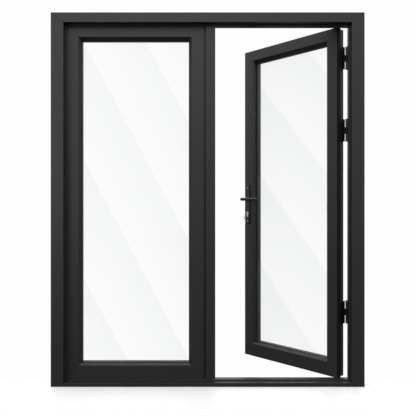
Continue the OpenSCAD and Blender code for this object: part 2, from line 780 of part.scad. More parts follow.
// A key lying along +Y in the YZ plane, its bow's hole at 0 and its tip at +Y
module key_shape() {
  bow_y = bow_hole_off;
  blade_end = bow_y + bow_r + blade_len;
  difference() {
    union() {
      translate([0, bow_y, 0]) rotate([0, 90, 0]) cylinder(r = bow_r, h = key_t, center = true);
      block([-key_t / 2, bow_y, -blade_h / 2], [key_t / 2, blade_end - 3, blade_h / 2]);
      translate([key_t / 2, 0, 0]) rotate([0, -90, 0]) linear_extrude(key_t)
        polygon([[-blade_h / 2, blade_end - 3], [blade_h / 2, blade_end - 3], [0, blade_end]]);
    }
    rotate([0, 90, 0]) cylinder(r = bow_hole_r, h = key_t + 2, center = true);
  }
}
key_hole_v = -plate_t - 2 - bow_r - bow_hole_off - 1;
ring_top = bow_hole_r - ring_wire - 0.2;
ring_drop = ring_top + ring_r;
spare_drop = ring_drop + ring_r - ring_top;

module key() { color("silver") at_lock() translate([backset, key_hole_v, cylinder_z]) key_shape(); }
module key_ring() {
  color("silver") at_lock() translate([backset, key_hole_v, cylinder_z - ring_drop])
    rotate([90, 0, 0]) rotate_extrude() translate([ring_r, 0]) circle(r = ring_wire);
}
module spare_key() {
  color("silver") at_lock() translate([backset, key_hole_v, cylinder_z - ring_drop - ring_r - ring_top])
    rotate([-90, 0, 0]) key_shape();
}

// ---- Left leaf ----

module passive_hinge_stile() { color(coat) at_passive_hinge() hinge_stile(); }
module passive_meeting_stile() { color(coat) at_passive_meeting() stile_bar(); }
module passive_top_rail() { color(coat) at_passive_leaf() top_rail(passive_w); }
module passive_bottom_rail() { color(coat) at_passive_leaf() bottom_rail(passive_w); }
module passive_glazing_beads() { color(coat) at_passive_leaf() glazing_beads(passive_w); }
module passive_glass_panes() { color(glass_tint) at_passive_leaf() glass_panes(passive_w); }
module passive_glass_spacer() { color(steel) at_passive_leaf() glass_spacer(passive_w); }
module passive_glazing_gaskets() { color(seal_black) at_passive_leaf() glazing_gaskets(passive_w); }
module passive_setting_blocks() { color("dimgray") at_passive_leaf() setting_blocks(passive_w); }
module passive_corner_cleats() { color(steel) at_passive_leaf() corner_cleats(passive_w); }

// ---- Mullion on the left leaf's edge, and its bolts ----

mullion_wall = 2.2;

// Cuts in the mullion's side for what enters from the right leaf or is worked from it
module lock_window(play) {
  translate([active_edge_x, leaf_y, 0]) {
    bolt_block([latch_throw + 14, latch_size[1], latch_size[2]], latch_z, -latch_throw - 12, play);
    bolt_block([34, dead_size[1], dead_size[2]], dead_z, -32, play);
  }
}
top_bolt_z = strip_top + cap_t - bolt_tip - bolt_len;
bottom_bolt_z = strip_bottom - cap_t + bolt_tip;
thumb_top_z = top_bolt_z + 30;
thumb_bottom_z = bottom_bolt_z + bolt_len - 30 - thumb_len;

module mullion_bar() {
  linear_extrude(strip_top - strip_bottom) difference() {
    polygon([[strip_left, stop_y], [strip_right, stop_y], [strip_right, stop_y + stop_d],
      [stem_right, stop_y + stop_d], [stem_right, stem_back], [passive_edge_x, stem_back],
      [passive_edge_x, stem_front], [strip_left, stem_front]]);
    translate([strip_left + mullion_wall, stop_y + mullion_wall])
      square([stem_right - strip_left - 2 * mullion_wall, stem_front - stop_y - 2 * mullion_wall]);
    translate([passive_edge_x + mullion_wall, stem_front + mullion_wall])
      square([stem_right - passive_edge_x - 2 * mullion_wall, stem_back - stem_front - 2 * mullion_wall]);
  }
}
module floating_mullion() {
  slot_x = stem_right - mullion_wall - 1;
  half = thumb_w / 2 + slide_clear;
  color(coat) in_frame() difference() {
    translate([0, 0, strip_bottom]) mullion_bar();
    lock_window(1);
    for (z = [thumb_top_z, thumb_bottom_z - bolt_throw])
      block([slot_x, bolt_y - half, z - 1], [stem_right + 1, bolt_y + half, z + thumb_len + bolt_throw + 1]);
  }
}
module mullion_end_caps() {
  front = leaf_y + 2;
  color(seal_black) in_frame() for (z = [strip_bottom - cap_t, strip_top]) difference() {
    union() {
      block([passive_edge_x, stem_front, z], [stem_right, stem_back, z + cap_t]);
      block([strip_left, front, z], [stem_right, stem_front + 1, z + cap_t]);
    }
    translate([bolt_x, bolt_y, z - 1]) cylinder(r = bolt_d / 2 + slide_clear, h = cap_t + 2);
  }
}
module mullion_seal() {
  color(seal_black) in_frame() block([strip_right - strip_lap - 0.5, stop_y + stop_d, strip_bottom],
    [strip_right - 0.5, stop_y + stop_d + seal_t, strip_top]);
}
module mullion_lock_keep() {
  color(steel) in_frame() difference() {
    block([stem_right, leaf_y + lock_v - 10, dead_z - 25],
      [stem_right + keep_t, leaf_y + lock_v + 10, latch_z + 25]);
    lock_window(1);
  }
}
// A round rod with the thumb piece that stands out through the mullion's slot
module shoot_bolt(z, thumb_z) {
  translate([bolt_x, bolt_y, z]) cylinder(r = bolt_d / 2, h = bolt_len);
  block([bolt_x, bolt_y - thumb_w / 2, thumb_z],
    [stem_right + thumb_out, bolt_y + thumb_w / 2, thumb_z + thumb_len]);
}
module shoot_bolt_top() { color("silver") in_frame() shoot_bolt(top_bolt_z, thumb_top_z); }
module shoot_bolt_bottom() { color("silver") in_frame() shoot_bolt(bottom_bolt_z, thumb_bottom_z); }

jamb_left();
jamb_right();
head();
threshold();
frame_seal();
shoot_bolt_keeps();
frame_corner_cleats();
hinge_frame_wings_right();
hinge_frame_wings_left();
hinge_pins();
hinge_frame_screws();
jamb_foot_plugs();
active_hinge_stile();
active_lock_stile();
active_top_rail();
active_bottom_rail();
active_glazing_beads();
active_glass_panes();
active_glass_spacer();
active_glazing_gaskets();
active_setting_blocks();
active_corner_cleats();
active_hinge_wings();
active_hinge_bushes();
active_hinge_screws();
lock_case();
lock_faceplate();
handle_backplate_inside();
handle_backplate_outside();
handle_screws();
cylinder_body();
lever_inside();
pull_outside();
handle_spindle();
lock_follower();
latch_bolt();
deadbolt();
cylinder_plug();
key();
key_ring();
spare_key();
passive_hinge_stile();
passive_meeting_stile();
passive_top_rail();
passive_bottom_rail();
passive_glazing_beads();
passive_glass_panes();
passive_glass_spacer();
passive_glazing_gaskets();
passive_setting_blocks();
passive_corner_cleats();
passive_hinge_wings();
passive_hinge_bushes();
passive_hinge_screws();
floating_mullion();
mullion_end_caps();
mullion_seal();
mullion_lock_keep();
shoot_bolt_top();
shoot_bolt_bottom();
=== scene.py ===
# %% [markdown]
# # French doors with one leaf open
# A glazed double door for a terrace, in dark powder-coated aluminium. Two leaves hang in a
# slim frame and swing outwards. The left one is held by its shoot bolts and carries a strip
# that covers the gap, and the right one has the lock and the lever and stands open.
#
# The construction is already settled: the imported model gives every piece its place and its
# hinges. This notebook dresses that model. Each extrusion, handle, key and hinge is made
# again as a finished surface in the same place, and rides on the body it belongs to.

# %% Load the frame
import json
import math
import bpy
import numpy as np
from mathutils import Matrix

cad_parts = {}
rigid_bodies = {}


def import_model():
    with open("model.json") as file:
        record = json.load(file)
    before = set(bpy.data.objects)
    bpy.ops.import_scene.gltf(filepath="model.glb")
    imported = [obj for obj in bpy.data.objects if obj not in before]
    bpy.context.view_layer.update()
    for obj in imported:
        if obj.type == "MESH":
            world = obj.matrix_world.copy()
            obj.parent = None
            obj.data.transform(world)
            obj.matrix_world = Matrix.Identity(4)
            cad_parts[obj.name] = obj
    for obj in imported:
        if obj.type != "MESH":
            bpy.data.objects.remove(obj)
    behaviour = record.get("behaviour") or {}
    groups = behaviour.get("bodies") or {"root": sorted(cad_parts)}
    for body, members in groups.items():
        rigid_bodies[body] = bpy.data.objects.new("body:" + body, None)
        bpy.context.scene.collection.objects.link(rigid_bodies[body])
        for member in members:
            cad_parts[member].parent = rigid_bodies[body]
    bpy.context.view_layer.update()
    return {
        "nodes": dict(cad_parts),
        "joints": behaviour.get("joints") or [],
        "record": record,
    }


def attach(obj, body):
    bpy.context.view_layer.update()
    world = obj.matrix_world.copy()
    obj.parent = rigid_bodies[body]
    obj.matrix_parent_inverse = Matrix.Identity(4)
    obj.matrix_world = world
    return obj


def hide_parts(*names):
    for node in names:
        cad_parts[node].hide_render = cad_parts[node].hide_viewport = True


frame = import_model()
mm = 0.001
X, Y, Z = np.eye(3)
print("CAD nodes:", len(frame["nodes"]))

# %% [markdown]
# ## Measuring the frame
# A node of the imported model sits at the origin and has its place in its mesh, so its lowest
# and highest corners say where it is. The open leaf is turned about its hinge line, and its
# corners say little. It is turned back first, measured shut, and everything made for it is
# drawn shut and swung open again at the end. The angle comes from the latch bolt's joint,
# because that bolt slides straight across the leaf.

# %% Corners, and the open leaf's swing
joints = {joint["name"]: joint for joint in frame["joints"]}
hinge_line = np.array(joints["active_leaf_hinge"]["pos_m"]) * [1, 1, 0]
bolt_way = joints["latch_slide"]["axis"]
open_angle = math.atan2(-bolt_way[1], bolt_way[0])


def swing(points, angle):
    """Turns points about the upright hinge line: x and y go round by the angle, z stays."""
    c, s = math.cos(angle), math.sin(angle)
    turn = np.array([[c, -s, 0], [s, c, 0], [0, 0, 1]])
    return (points - hinge_line) @ turn.T + hinge_line


def corners(node, turned_back=0.0):
    """Lowest and highest corner of a CAD node, after turning it back about the hinge line."""
    mesh = frame["nodes"][node].data
    points = np.empty(3 * len(mesh.vertices))
    mesh.vertices.foreach_get("co", points)
    points = swing(points.reshape(-1, 3), turned_back)
    return points.min(axis=0), points.max(axis=0)


jamb_low, jamb_high = corners("jamb_left")
head_low, head_high = corners("head")
sill_high = corners("threshold")[1]
print("frame", np.round(head_high - jamb_low, 3), "m, leaf open by", round(math.degrees(open_angle)))

# %% [markdown]
# ## Turning grids of points into closed pieces
# Every new piece is one or more closed shells. A shell is a stack of rings with the same
# number of points: neighbouring rings are joined by four-sided faces, and the first and the
# last ring are closed by a flat cap or drawn together in a pole. A negative volume means that
# the faces point inwards, so they are turned round.

# %% Shells and pieces
def unit(vectors):
    """Each vector divided by its length."""
    vectors = np.asarray(vectors, float)
    return vectors / np.linalg.norm(vectors, axis=-1, keepdims=True)


def volume(points, faces):
    """Sum over all triangles of the triple product of their corners, divided by six."""
    corner_lists = [[f[0], a, b] for f in faces for a, b in zip(f[1:-1], f[2:])]
    a, b, c = points[np.array(corner_lists).T]
    return np.einsum("ij,ij->", a, np.cross(b, c)) / 6


def shell(rings, ends="caps"):
    """Rings (m, n, 3) joined into a closed surface. ends is caps, poles, or loop for a ring
    that meets itself again."""
    m, n = rings.shape[:2]
    points = rings.reshape(-1, 3)
    along = m if ends == "loop" else m - 1
    i, j = np.meshgrid(np.arange(along), np.arange(n), indexing="ij")
    i2, j2 = (i + 1) % m, (j + 1) % n
    quads = np.stack([i * n + j, i2 * n + j, i2 * n + j2, i * n + j2], axis=-1).reshape(-1, 4)
    faces = quads.tolist()
    if ends == "caps":
        faces += [list(range(n))[::-1], list(range((m - 1) * n, m * n))]
    if ends == "poles":
        first, last = m * n, m * n + 1
        points = np.vstack([points, rings[0].mean(axis=0), rings[-1].mean(axis=0)])
        around = np.arange(n)
        beyond = (around + 1) % n
        start = np.stack([np.full(n, first), around, beyond], axis=1)
        close = np.stack([np.full(n, last), (m - 1) * n + beyond, (m - 1) * n + around], axis=1)
        faces += start.tolist() + close.tolist()
    if volume(points, faces) < 0:
        faces = [face[::-1] for face in faces]
    return points, faces


def piece(name, shells, finish, body, stands_for=(), smooth=0, open_leaf=False):
    """One object from several shells, with its finish, its body and the CAD nodes it replaces.
    smooth is the angle in degrees up to which neighbouring faces shade as one."""
    starts = np.cumsum([0] + [len(points) for points, _ in shells])
    points = np.vstack([points for points, _ in shells])
    faces = [[int(start) + k for k in face] for start, (_, fs) in zip(starts, shells) for face in fs]
    if open_leaf:
        points = swing(points, -open_angle)
    mesh = bpy.data.meshes.new(name)
    mesh.from_pydata(points.tolist(), [], faces)
    mesh.materials.append(finish)
    if smooth:
        mesh.polygons.foreach_set("use_smooth", [True] * len(faces))
        mesh.set_sharp_from_angle(angle=math.radians(smooth))
    mesh.update()
    made = bpy.data.objects.new(name, mesh)
    bpy.context.scene.collection.objects.link(made)
    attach(made, body)
    if stands_for:
        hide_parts(*stands_for)
    return made


# %% [markdown]
# ## Outlines with soft corners
# An extrusion has no sharp edge: the die rounds each one a little, and that thin arc is what
# catches the light. So each corner of an outline becomes a short arc. The corner's two edges
# give two directions, the arc's centre lies halfway between them, and the arc swings from one
# edge to the other.

# %% Rounding and insetting an outline
def counter_clockwise(outline):
    """The outline in the order that has a positive area."""
    x, y = np.asarray(outline, float).T
    area = np.sum(x * np.roll(y, -1) - np.roll(x, -1) * y)
    return np.asarray(outline, float)[:: 1 if area > 0 else -1]


def rounded(outline, radius, steps=3):
    """Each corner becomes an arc: centre = corner + r / sin(half) along the middle direction,
    and the arc's points turn evenly from one edge's normal to the other's."""
    p = counter_clockwise(outline)
    r = np.broadcast_to(np.asarray(radius, float), len(p))[:, None]
    back, on = unit(np.roll(p, 1, axis=0) - p), unit(np.roll(p, -1, axis=0) - p)
    half = np.arccos(np.clip((back * on).sum(axis=1), -1, 1))[:, None] / 2
    centre = p + unit(back + on) * r / np.sin(half)
    first, last = p + back * r / np.tan(half) - centre, p + on * r / np.tan(half) - centre
    turn = np.pi - 2 * half
    share = np.linspace(0, 1, steps + 1)
    a = (np.sin((1 - share) * turn) / np.sin(turn))[..., None]
    b = (np.sin(share * turn) / np.sin(turn))[..., None]
    return (centre[:, None] + a * first[:, None] + b * last[:, None]).reshape(-1, 2)


def inset(outline, by):
    """Each point moves inwards along its two edges' normals, so that both edges move by `by`."""
    edge = unit(np.roll(outline, -1, axis=0) - outline)
    out = np.stack([edge[:, 1], -edge[:, 0]], axis=1)
    before = np.roll(out, 1, axis=0)
    both = out + before
    return outline - by * both / (1 + (out * before).sum(axis=1, keepdims=True))


# %% [markdown]
# ## Bars
# Jambs, rails, stiles, beads and the mullion are all cut from long extrusions, so one function
# carries an outline straight along a length. Where a bar starts and ends depends on the
# distance u from its outer edge, which is all that a mitre is. The end rings are drawn in by
# half a millimetre, so two mitred bars meet in the fine dark line that a real corner shows.

# %% A straight bar
def at(value):
    """A cut square across the bar."""
    return lambda u: np.full_like(u, value)


def mitre(knots, values, offset=0.0, sign=1):
    """A slanting cut: offset plus or minus the values, in straight stretches between knots."""
    return lambda u: offset + sign * np.interp(u, knots, values)


def bar(outline, start, end, origin, along, u=X, v=Y, groove=0.6 * mm):
    """The outline (u, v) carried along a direction from start(u) to end(u)."""
    drawn_in = inset(outline, groove)
    stations = [(drawn_in, start, 0), (outline, start, groove), (outline, end, -groove), (drawn_in, end, 0)]
    rings = [origin + ring[:, :1] * u + ring[:, 1:] * v + (cut(ring[:, 0]) + shift)[:, None] * along
             for ring, cut, shift in stations]
    return shell(np.array(rings))


def lathe(profile, origin, axis, steps=32, lobes=None):
    """Points (radius, height) of a profile turned about an axis. The ends close in poles."""
    profile = np.asarray(profile, float)
    side = unit(np.cross(axis, Z if abs(axis[2]) < 0.9 else X))
    third = np.cross(axis, side)
    angle = np.linspace(0, 2 * np.pi, steps, endpoint=False)
    ring = np.cos(angle)[:, None] * side + np.sin(angle)[:, None] * third
    radius = profile[:, 0][:, None] * np.ones(steps) if lobes is None else lobes(profile, angle)
    rings = origin + radius[..., None] * ring + profile[:, 1][:, None, None] * np.asarray(axis)
    return shell(rings, "poles")


def stand(outline, depths, origin, u, v, along):
    """An outline stepped along a direction: each (inset, height) of depths is one ring."""
    rings = [origin + ring[:, :1] * u + ring[:, 1:] * v + height * np.asarray(along)
             for ring, height in [(inset(outline, i), h) for i, h in depths]]
    return shell(np.array(rings))


def edge_steps(radius, height, steps=3):
    """(inset, height) pairs of a flat block whose top edge is a quarter round."""
    t = np.linspace(0, np.pi / 2, steps + 1)
    arc = np.stack([radius * (1 - np.cos(t)), height - radius * (1 - np.sin(t))], axis=1)
    return [(0, 0)] + arc.tolist() + [(radius * 1.15, height)]


def block(low, high, radius=0.4 * mm):
    """A box with rounded upright edges and chamfered ends."""
    low, high = np.minimum(low, high), np.maximum(low, high)
    (x0, y0, z0), (x1, y1, z1) = low, high
    outline = rounded([(x0, y0), (x1, y0), (x1, y1), (x0, y1)], radius, 2)
    return bar(outline, at(z0), at(z1), np.zeros(3), Z, groove=radius)


print("helpers ready")

# %% [markdown]
# ## Cutting holes
# Drilled and milled openings are the one thing that a carried outline can't have. They are cut
# afterwards, as in the workshop, with closed cutters and Blender's Boolean modifier, and the
# result is kept as the piece's mesh.

# %% Cutting
def cut(target, cutters, open_leaf=False):
    """Takes the cutters' shells out of target and keeps the result as its mesh."""
    for k, (points, faces) in enumerate(cutters):
        tool_mesh = bpy.data.meshes.new("cutter")
        tool_mesh.from_pydata((swing(points, -open_angle) if open_leaf else points).tolist(), [], faces)
        tool = bpy.data.objects.new(f"cutter_{k}", tool_mesh)
        bpy.context.scene.collection.objects.link(tool)
        modifier = target.modifiers.new(f"cut_{k}", "BOOLEAN")
        modifier.operation, modifier.solver, modifier.object = "DIFFERENCE", "EXACT", tool
    result = bpy.data.meshes.new_from_object(target.evaluated_get(bpy.context.evaluated_depsgraph_get()))
    old = target.data
    target.modifiers.clear()
    target.data = result
    bpy.data.meshes.remove(old)
    for tool in [o for o in bpy.data.objects if o.name.startswith("cutter_")]:
        bpy.data.objects.remove(tool)


# %% [markdown]
# ## Building materials
# A finish is a shader with a few patterns on it. Patterns are written as sums: the class below
# holds one socket, and each +, -, * or ** on it adds one Math node. Anything else comes from one
# method that takes a node's type, its settings and its inputs. All patterns read Object
# coordinates, which are metres on the door itself, so they stay put when a leaf swings.

# %% The material kit
class Wire:
    """A socket that can be added, subtracted and multiplied."""

    def __init__(self, finish, socket):
        self.finish, self.socket = finish, socket

    def _sum(self, operation, first, second):
        return self.finish.node("ShaderNodeMath", {"operation": operation}, {0: first, 1: second})

    def __add__(self, other):
        return self._sum("ADD", self, other)

    def __sub__(self, other):
        return self._sum("SUBTRACT", self, other)

    def __rsub__(self, other):
        return self._sum("SUBTRACT", other, self)

    def __mul__(self, other):
        return self._sum("MULTIPLY", self, other)

    def __pow__(self, other):
        return self._sum("POWER", self, other)

    __radd__, __rmul__ = __add__, __mul__


class Finish:
    """A material in the making. Keyword values are set on the shader's own sockets."""

    def __init__(self, name, **constants):
        self.material = bpy.data.materials.new(name)
        self.material.use_nodes = True
        self.tree = self.material.node_tree
        self.shader = self.tree.nodes["Principled BSDF"]
        for socket, value in constants.items():
            self.shader.inputs[socket.replace("_", " ")].default_value = value
        self.place = self.node("ShaderNodeTexCoord", {}, {}, "Object")

    def node(self, kind, settings, inputs, out=0):
        """Adds a node: settings first, then each input's value or link. Gives back one output."""
        made = self.tree.nodes.new(kind)
        for name, value in settings.items():
            setattr(made, name, value)
        for key, value in inputs.items():
            if isinstance(value, Wire):
                self.tree.links.new(value.socket, made.inputs[key])
            else:
                made.inputs[key].default_value = value
        return Wire(self, made.outputs[out])

    def drive(self, **wires):
        """Links wires to the shader's sockets."""
        for socket, wire in wires.items():
            self.tree.links.new(wire.socket, self.shader.inputs[socket.replace("_", " ")])
        return self

    def noise(self, scale, detail=2.0, roughness=0.5, place=None):
        inputs = {"Vector": place or self.place, "Scale": scale, "Detail": detail, "Roughness": roughness}
        return self.node("ShaderNodeTexNoise", {}, inputs)

    def stretched(self, scale, turn=(0, 0, 0)):
        """Object coordinates turned, then scaled differently along each axis."""
        return self.node("ShaderNodeMapping", {}, {"Vector": self.place, "Rotation": turn, "Scale": scale})

    def between(self, share, dark, light):
        """A colour that goes from dark to light as share goes from 0 to 1."""
        inputs = {0: share, 6: (*dark, 1), 7: (*light, 1)}
        return self.node("ShaderNodeMix", {"data_type": "RGBA"}, inputs, 2)

    def bump(self, height, distance, strength=1.0):
        inputs = {"Height": height, "Distance": distance, "Strength": strength}
        return self.node("ShaderNodeBump", {}, inputs)


# %% [markdown]
# ## The coats
# Powder coat is a baked plastic skin: near black, satin, with a grain finer than a millimetre
# and a broad faint unevenness. The grain is a small bump, and the unevenness moves both the
# colour and the gloss by a few hundredths. The handle is coated smoother and a shade darker.

# %% Powder coats
def powder_coat(name, dark, light, gloss, grain):
    """Fine noise as bump, broad noise in colour and roughness."""
    f = Finish(name, Metallic=0.0)
    broad = f.noise(2.2, 3.0)
    fine = f.noise(900.0, 2.0)
    f.drive(Base_Color=f.between(broad * 0.6 + fine * 0.4, dark, light),
            Roughness=gloss + (broad - 0.5) * 0.12 + (fine - 0.5) * 0.06,
            Normal=f.bump(fine, grain))
    return f.material


dark_coat = powder_coat("dark_powder_coat", (0.009, 0.0092, 0.0096), (0.015, 0.0152, 0.0156), 0.42, 0.00006)
handle_coat = powder_coat("handle_satin_coat", (0.007, 0.007, 0.0073), (0.011, 0.011, 0.0115), 0.34, 0.00003)
print(dark_coat.name, handle_coat.name)

# %% [markdown]
# ## Glass
# The panes are nearly invisible. What shows is a very light tint, a stronger reflection at low
# angles, and long soft streaks, a painted reflection of the sky in the pane's colour and opacity.
# A streak pattern is a saw-tooth across slanting lines: it jumps at each line and fades until the
# next. It moves the pane's opacity between one and a few hundredths.

# %% Glass with painted reflection streaks
def glass(name, turn, slant, period, shift):
    """Opacity = tint + painted reflection streak * fade, plus a share of the glancing reflection."""
    f = Finish(name, Roughness=0.04, IOR=1.5)
    turned = f.node("ShaderNodeMapping", {}, {"Vector": f.place, "Rotation": (0, 0, turn)})
    across = f.node("ShaderNodeSeparateXYZ", {}, {0: turned}, "X")
    up = f.node("ShaderNodeSeparateXYZ", {}, {0: turned}, "Z")
    steps = (across + up * slant) * (1 / period) + shift
    saw = f.node("ShaderNodeMath", {"operation": "FRACT"}, {0: steps})
    soft = f.noise(1.3, 1.0)
    glancing = f.node("ShaderNodeFresnel", {}, {"IOR": 1.3})
    # Painted reflection: the streaks stand for the sky's reflection, drawn into base colour and opacity.
    f.drive(Base_Color=f.between(saw, (0.78, 0.84, 0.87), (0.7, 0.79, 0.84)),
            Alpha=0.004 + saw * 0.028 + soft * 0.006 + glancing * 0.35)
    return f.material


left_glass = glass("left_streaked_glass", 0.0, 0.53, 0.36, 0.1)
right_glass = glass("right_streaked_glass", open_angle, 0.93, 0.545, 0.3)
print(left_glass.name, right_glass.name)

# %% [markdown]
# ## Metals, rubber and plastics
# Hinges and lock parts are brushed: a noise pulled out along the brushing gives long fine
# scratches in the gloss and the bump. Keys are polished nickel with a few soft marks. Gaskets
# are dull black rubber, and the blocks and caps are moulded plastic with an eggshell skin.

# %% The small finishes
def brushed(name, dark, light, gloss, stretch, grain=0.00002):
    """A noise stretched along the brushing, in colour, roughness and bump."""
    f = Finish(name, Metallic=1.0)
    lines = f.noise(1.0, 3.0, 0.6, place=f.stretched(stretch))
    cloud = f.noise(40.0, 2.0)
    f.drive(Base_Color=f.between(lines * 0.7 + cloud * 0.3, dark, light),
            Roughness=gloss + (lines - 0.5) * 0.18, Normal=f.bump(lines, grain))
    return f.material


def moulded(name, dark, light, gloss, scale, grain):
    """An even plastic or rubber skin with a fine grain."""
    f = Finish(name)
    skin = f.noise(scale, 3.0)
    f.drive(Base_Color=f.between(skin, dark, light), Roughness=gloss + (skin - 0.5) * 0.15,
            Normal=f.bump(skin, grain))
    return f.material


hinge_steel = brushed("hinge_burnished_steel", (0.05, 0.05, 0.052), (0.13, 0.13, 0.135), 0.34, (90, 90, 1400))
lock_steel = brushed("lock_brushed_steel", (0.4, 0.4, 0.41), (0.62, 0.62, 0.63), 0.3, (900, 900, 30))
mill_metal = brushed("mill_aluminium_skin", (0.55, 0.55, 0.56), (0.72, 0.72, 0.73), 0.42, (60, 60, 700))
spacer_metal = brushed("dark_spacer_bar", (0.03, 0.03, 0.03), (0.07, 0.07, 0.07), 0.45, (300, 300, 20))
key_nickel = brushed("key_nickel", (0.86, 0.85, 0.83), (0.96, 0.95, 0.93), 0.32, (500, 120, 500), 0.00001)
rubber = moulded("gasket_rubber", (0.006, 0.006, 0.006), (0.014, 0.014, 0.014), 0.66, 500.0, 0.00004)
cap_plastic = moulded("black_cap_plastic", (0.012, 0.012, 0.012), (0.022, 0.022, 0.022), 0.5, 700.0, 0.00004)
bush_plastic = moulded("pale_bush_plastic", (0.7, 0.69, 0.66), (0.84, 0.83, 0.8), 0.4, 600.0, 0.00002)
block_plastic = moulded("grey_block_plastic", (0.1, 0.1, 0.1), (0.17, 0.17, 0.17), 0.6, 500.0, 0.00004)

# %% Finishes of the nodes that stay
KEPT = {
    "active_glass_panes": right_glass, "passive_glass_panes": left_glass,
    "active_glass_spacer": spacer_metal, "passive_glass_spacer": spacer_metal,
    "active_setting_blocks": block_plastic, "passive_setting_blocks": block_plastic,
    "active_corner_cleats": mill_metal, "passive_corner_cleats": mill_metal,
    "frame_corner_cleats": mill_metal, "lock_case": lock_steel, "lock_follower": lock_steel,
    "handle_spindle": lock_steel, "cylinder_body": key_nickel, "jamb_foot_plugs": cap_plastic,
}
for node in frame["nodes"].values():
    node.data.materials.clear()
    node.data.materials.append(KEPT.get(node.name, dark_coat))
print(len(KEPT), "nodes keep their shape")

# %% [markdown]
# ## The outer frame
# Two jambs and a head are one extrusion, mitred at the top corners. Its section is a flat
# face, a deep reveal and a small rib that the leaves close against. The threshold is a low
# bar of its own between the jambs, with the same rib along its top.

# %% Section of the frame
rib = 8 * mm
rib_front = 42 * mm
rib_back = 50 * mm
depth = jamb_high[1] - jamb_low[1]
jamb_face = jamb_high[0] - jamb_low[0] - rib
head_face = head_high[2] - head_low[2] - rib
frame_width = head_high[0] - head_low[0]
frame_height = jamb_high[2]
room_face = jamb_low[1]


def frame_outline(face):
    """u from the outside of the frame to its reveal, v from the room face outwards."""
    corner_points = [(0, 0), (face, 0), (face, rib_front), (face + rib, rib_front), (face + rib, rib_back),
                     (face, rib_back), (face, depth), (0, depth)]
    radius = np.array([1.0, 1.3, 0.3, 0.8, 0.8, 0.3, 1.3, 1.0]) * mm
    return rounded(corner_points, radius)


jamb_knots = [0, jamb_face, jamb_face + rib]
head_knots = [0, head_face, head_face + rib]
fixing_radius = 4.25 * mm
print("faces:", round(jamb_face / mm), round(head_face / mm), "mm")

# %% Jambs, drilled for their fixings
fixings = {mount["name"]: mount for mount in frame["record"]["mounts"] if "fixing" in mount["name"]}


def fixing_holes(side):
    """Cutters through a jamb, one at each hole of its bolt patterns."""
    holes = []
    for name, mount in fixings.items():
        if side in name:
            x, y, z = mount["pos_m"]
            half = mount["dims"]["spacing_y_mm"] * mm / 2
            holes += [(y, z - half), (y, z + half)]
    reach = 0.9 if side == "right" else -0.9
    profile = [(fixing_radius, 0), (fixing_radius, 0.1)]
    return [lathe(profile, np.array([reach, y, z]), -np.sign(reach) * X, 24) for y, z in holes]


for side, sign in (("left", 1), ("right", -1)):
    corner = np.array([-sign * frame_width / 2, room_face, 0])
    top_cut = mitre(jamb_knots, head_knots, frame_height, -1)
    jamb = piece(f"{side}_jamb", [bar(frame_outline(jamb_face), at(0), top_cut, corner, Z, u=sign * X)],
                 dark_coat, "frame", [f"jamb_{side}"])
    cut(jamb, fixing_holes(side))
    print(jamb.name, len(jamb.data.polygons), "faces")

# %% Head and threshold
bolt_low, bolt_high = corners("shoot_bolt_top")
bolt_x = bolt_low[0] + 6 * mm
bolt_y = (bolt_low[1] + bolt_high[1]) / 2
bolt_hole = 6.3 * mm


def bolt_cutter(z, length):
    """A round hole for a shoot bolt, from z upwards."""
    return lathe([(bolt_hole, 0), (bolt_hole, length)], np.array([bolt_x, bolt_y, z]), Z, 32)


head_corner = np.array([-frame_width / 2, room_face, frame_height])
left_cut, right_cut = mitre(head_knots, jamb_knots), mitre(head_knots, jamb_knots, frame_width, -1)
head_bar = piece("head_bar", [bar(frame_outline(head_face), left_cut, right_cut, head_corner, X, u=-Z)],
                 dark_coat, "frame", ["head"])
cut(head_bar, [bolt_cutter(frame_height - head_face - 1 * mm, 24 * mm)])

sill_height = sill_high[2] - rib
sill_outline = rounded([(0, 0), (sill_height, 0), (sill_height, depth), (0, depth)], 1.2 * mm)
rib_outline = rounded([(sill_height - mm, rib_front), (sill_height + rib, rib_front),
                       (sill_height + rib, rib_back), (sill_height - mm, rib_back)], 0.8 * mm)
sill_corner = np.array([0, room_face, 0])
sill_half = sill_high[0]
sill_bars = [bar(sill_outline, at(-sill_half), at(sill_half), sill_corner, X, u=Z),
             bar(rib_outline, at(rib - sill_half), at(sill_half - rib), sill_corner, X, u=Z)]
threshold_bar = piece("threshold_bar", sill_bars, dark_coat, "frame", ["threshold"])
cut(threshold_bar, [bolt_cutter(sill_height - 18 * mm, 20 * mm)])
print("head and threshold made")

# %% [markdown]
# ## Gaskets as loops
# A gasket runs round its opening without an end, so its section is placed at the four corners
# of a rectangle and joined side by side. The section's first number is the distance inwards
# from the rectangle, which gives mitred corners by itself.

# %% A loop round a rectangle
def loop(section, low, high, y0):
    """A section (inwards, back) carried round the rectangle from low to high in x and z."""
    (x0, z0), (x1, z1) = low, high
    inwards, back = section.T
    rings = [np.stack([x + sx * inwards, y0 + back, z + sz * inwards], axis=1)
             for x, z, sx, sz in ((x0, z0, 1, 1), (x1, z0, -1, 1), (x1, z1, -1, -1), (x0, z1, 1, -1))]
    return shell(np.array(rings), "loop")


def bulb(width, thickness, foot=1.2 * mm, steps=10):
    """Section of a seal: a flat foot with a half-round bulb on it, as high as thickness."""
    t = np.linspace(0, np.pi, steps)
    arch = np.stack([width / 2 + 0.36 * width * np.cos(t), foot + (thickness - foot) * np.sin(t)], axis=1)
    return counter_clockwise(np.vstack([[(0, 0), (width, 0), (width, foot)], arch, [(0, foot)]]))


seal_low, seal_high = corners("frame_seal")
seal_section = bulb(6 * mm, seal_high[1] - seal_low[1])
piece("frame_rebate_seal", [loop(seal_section, seal_low[[0, 2]], seal_high[[0, 2]], seal_low[1])],
      rubber, "frame", ["frame_seal"], smooth=40)
print("seal section has", len(seal_section), "points")

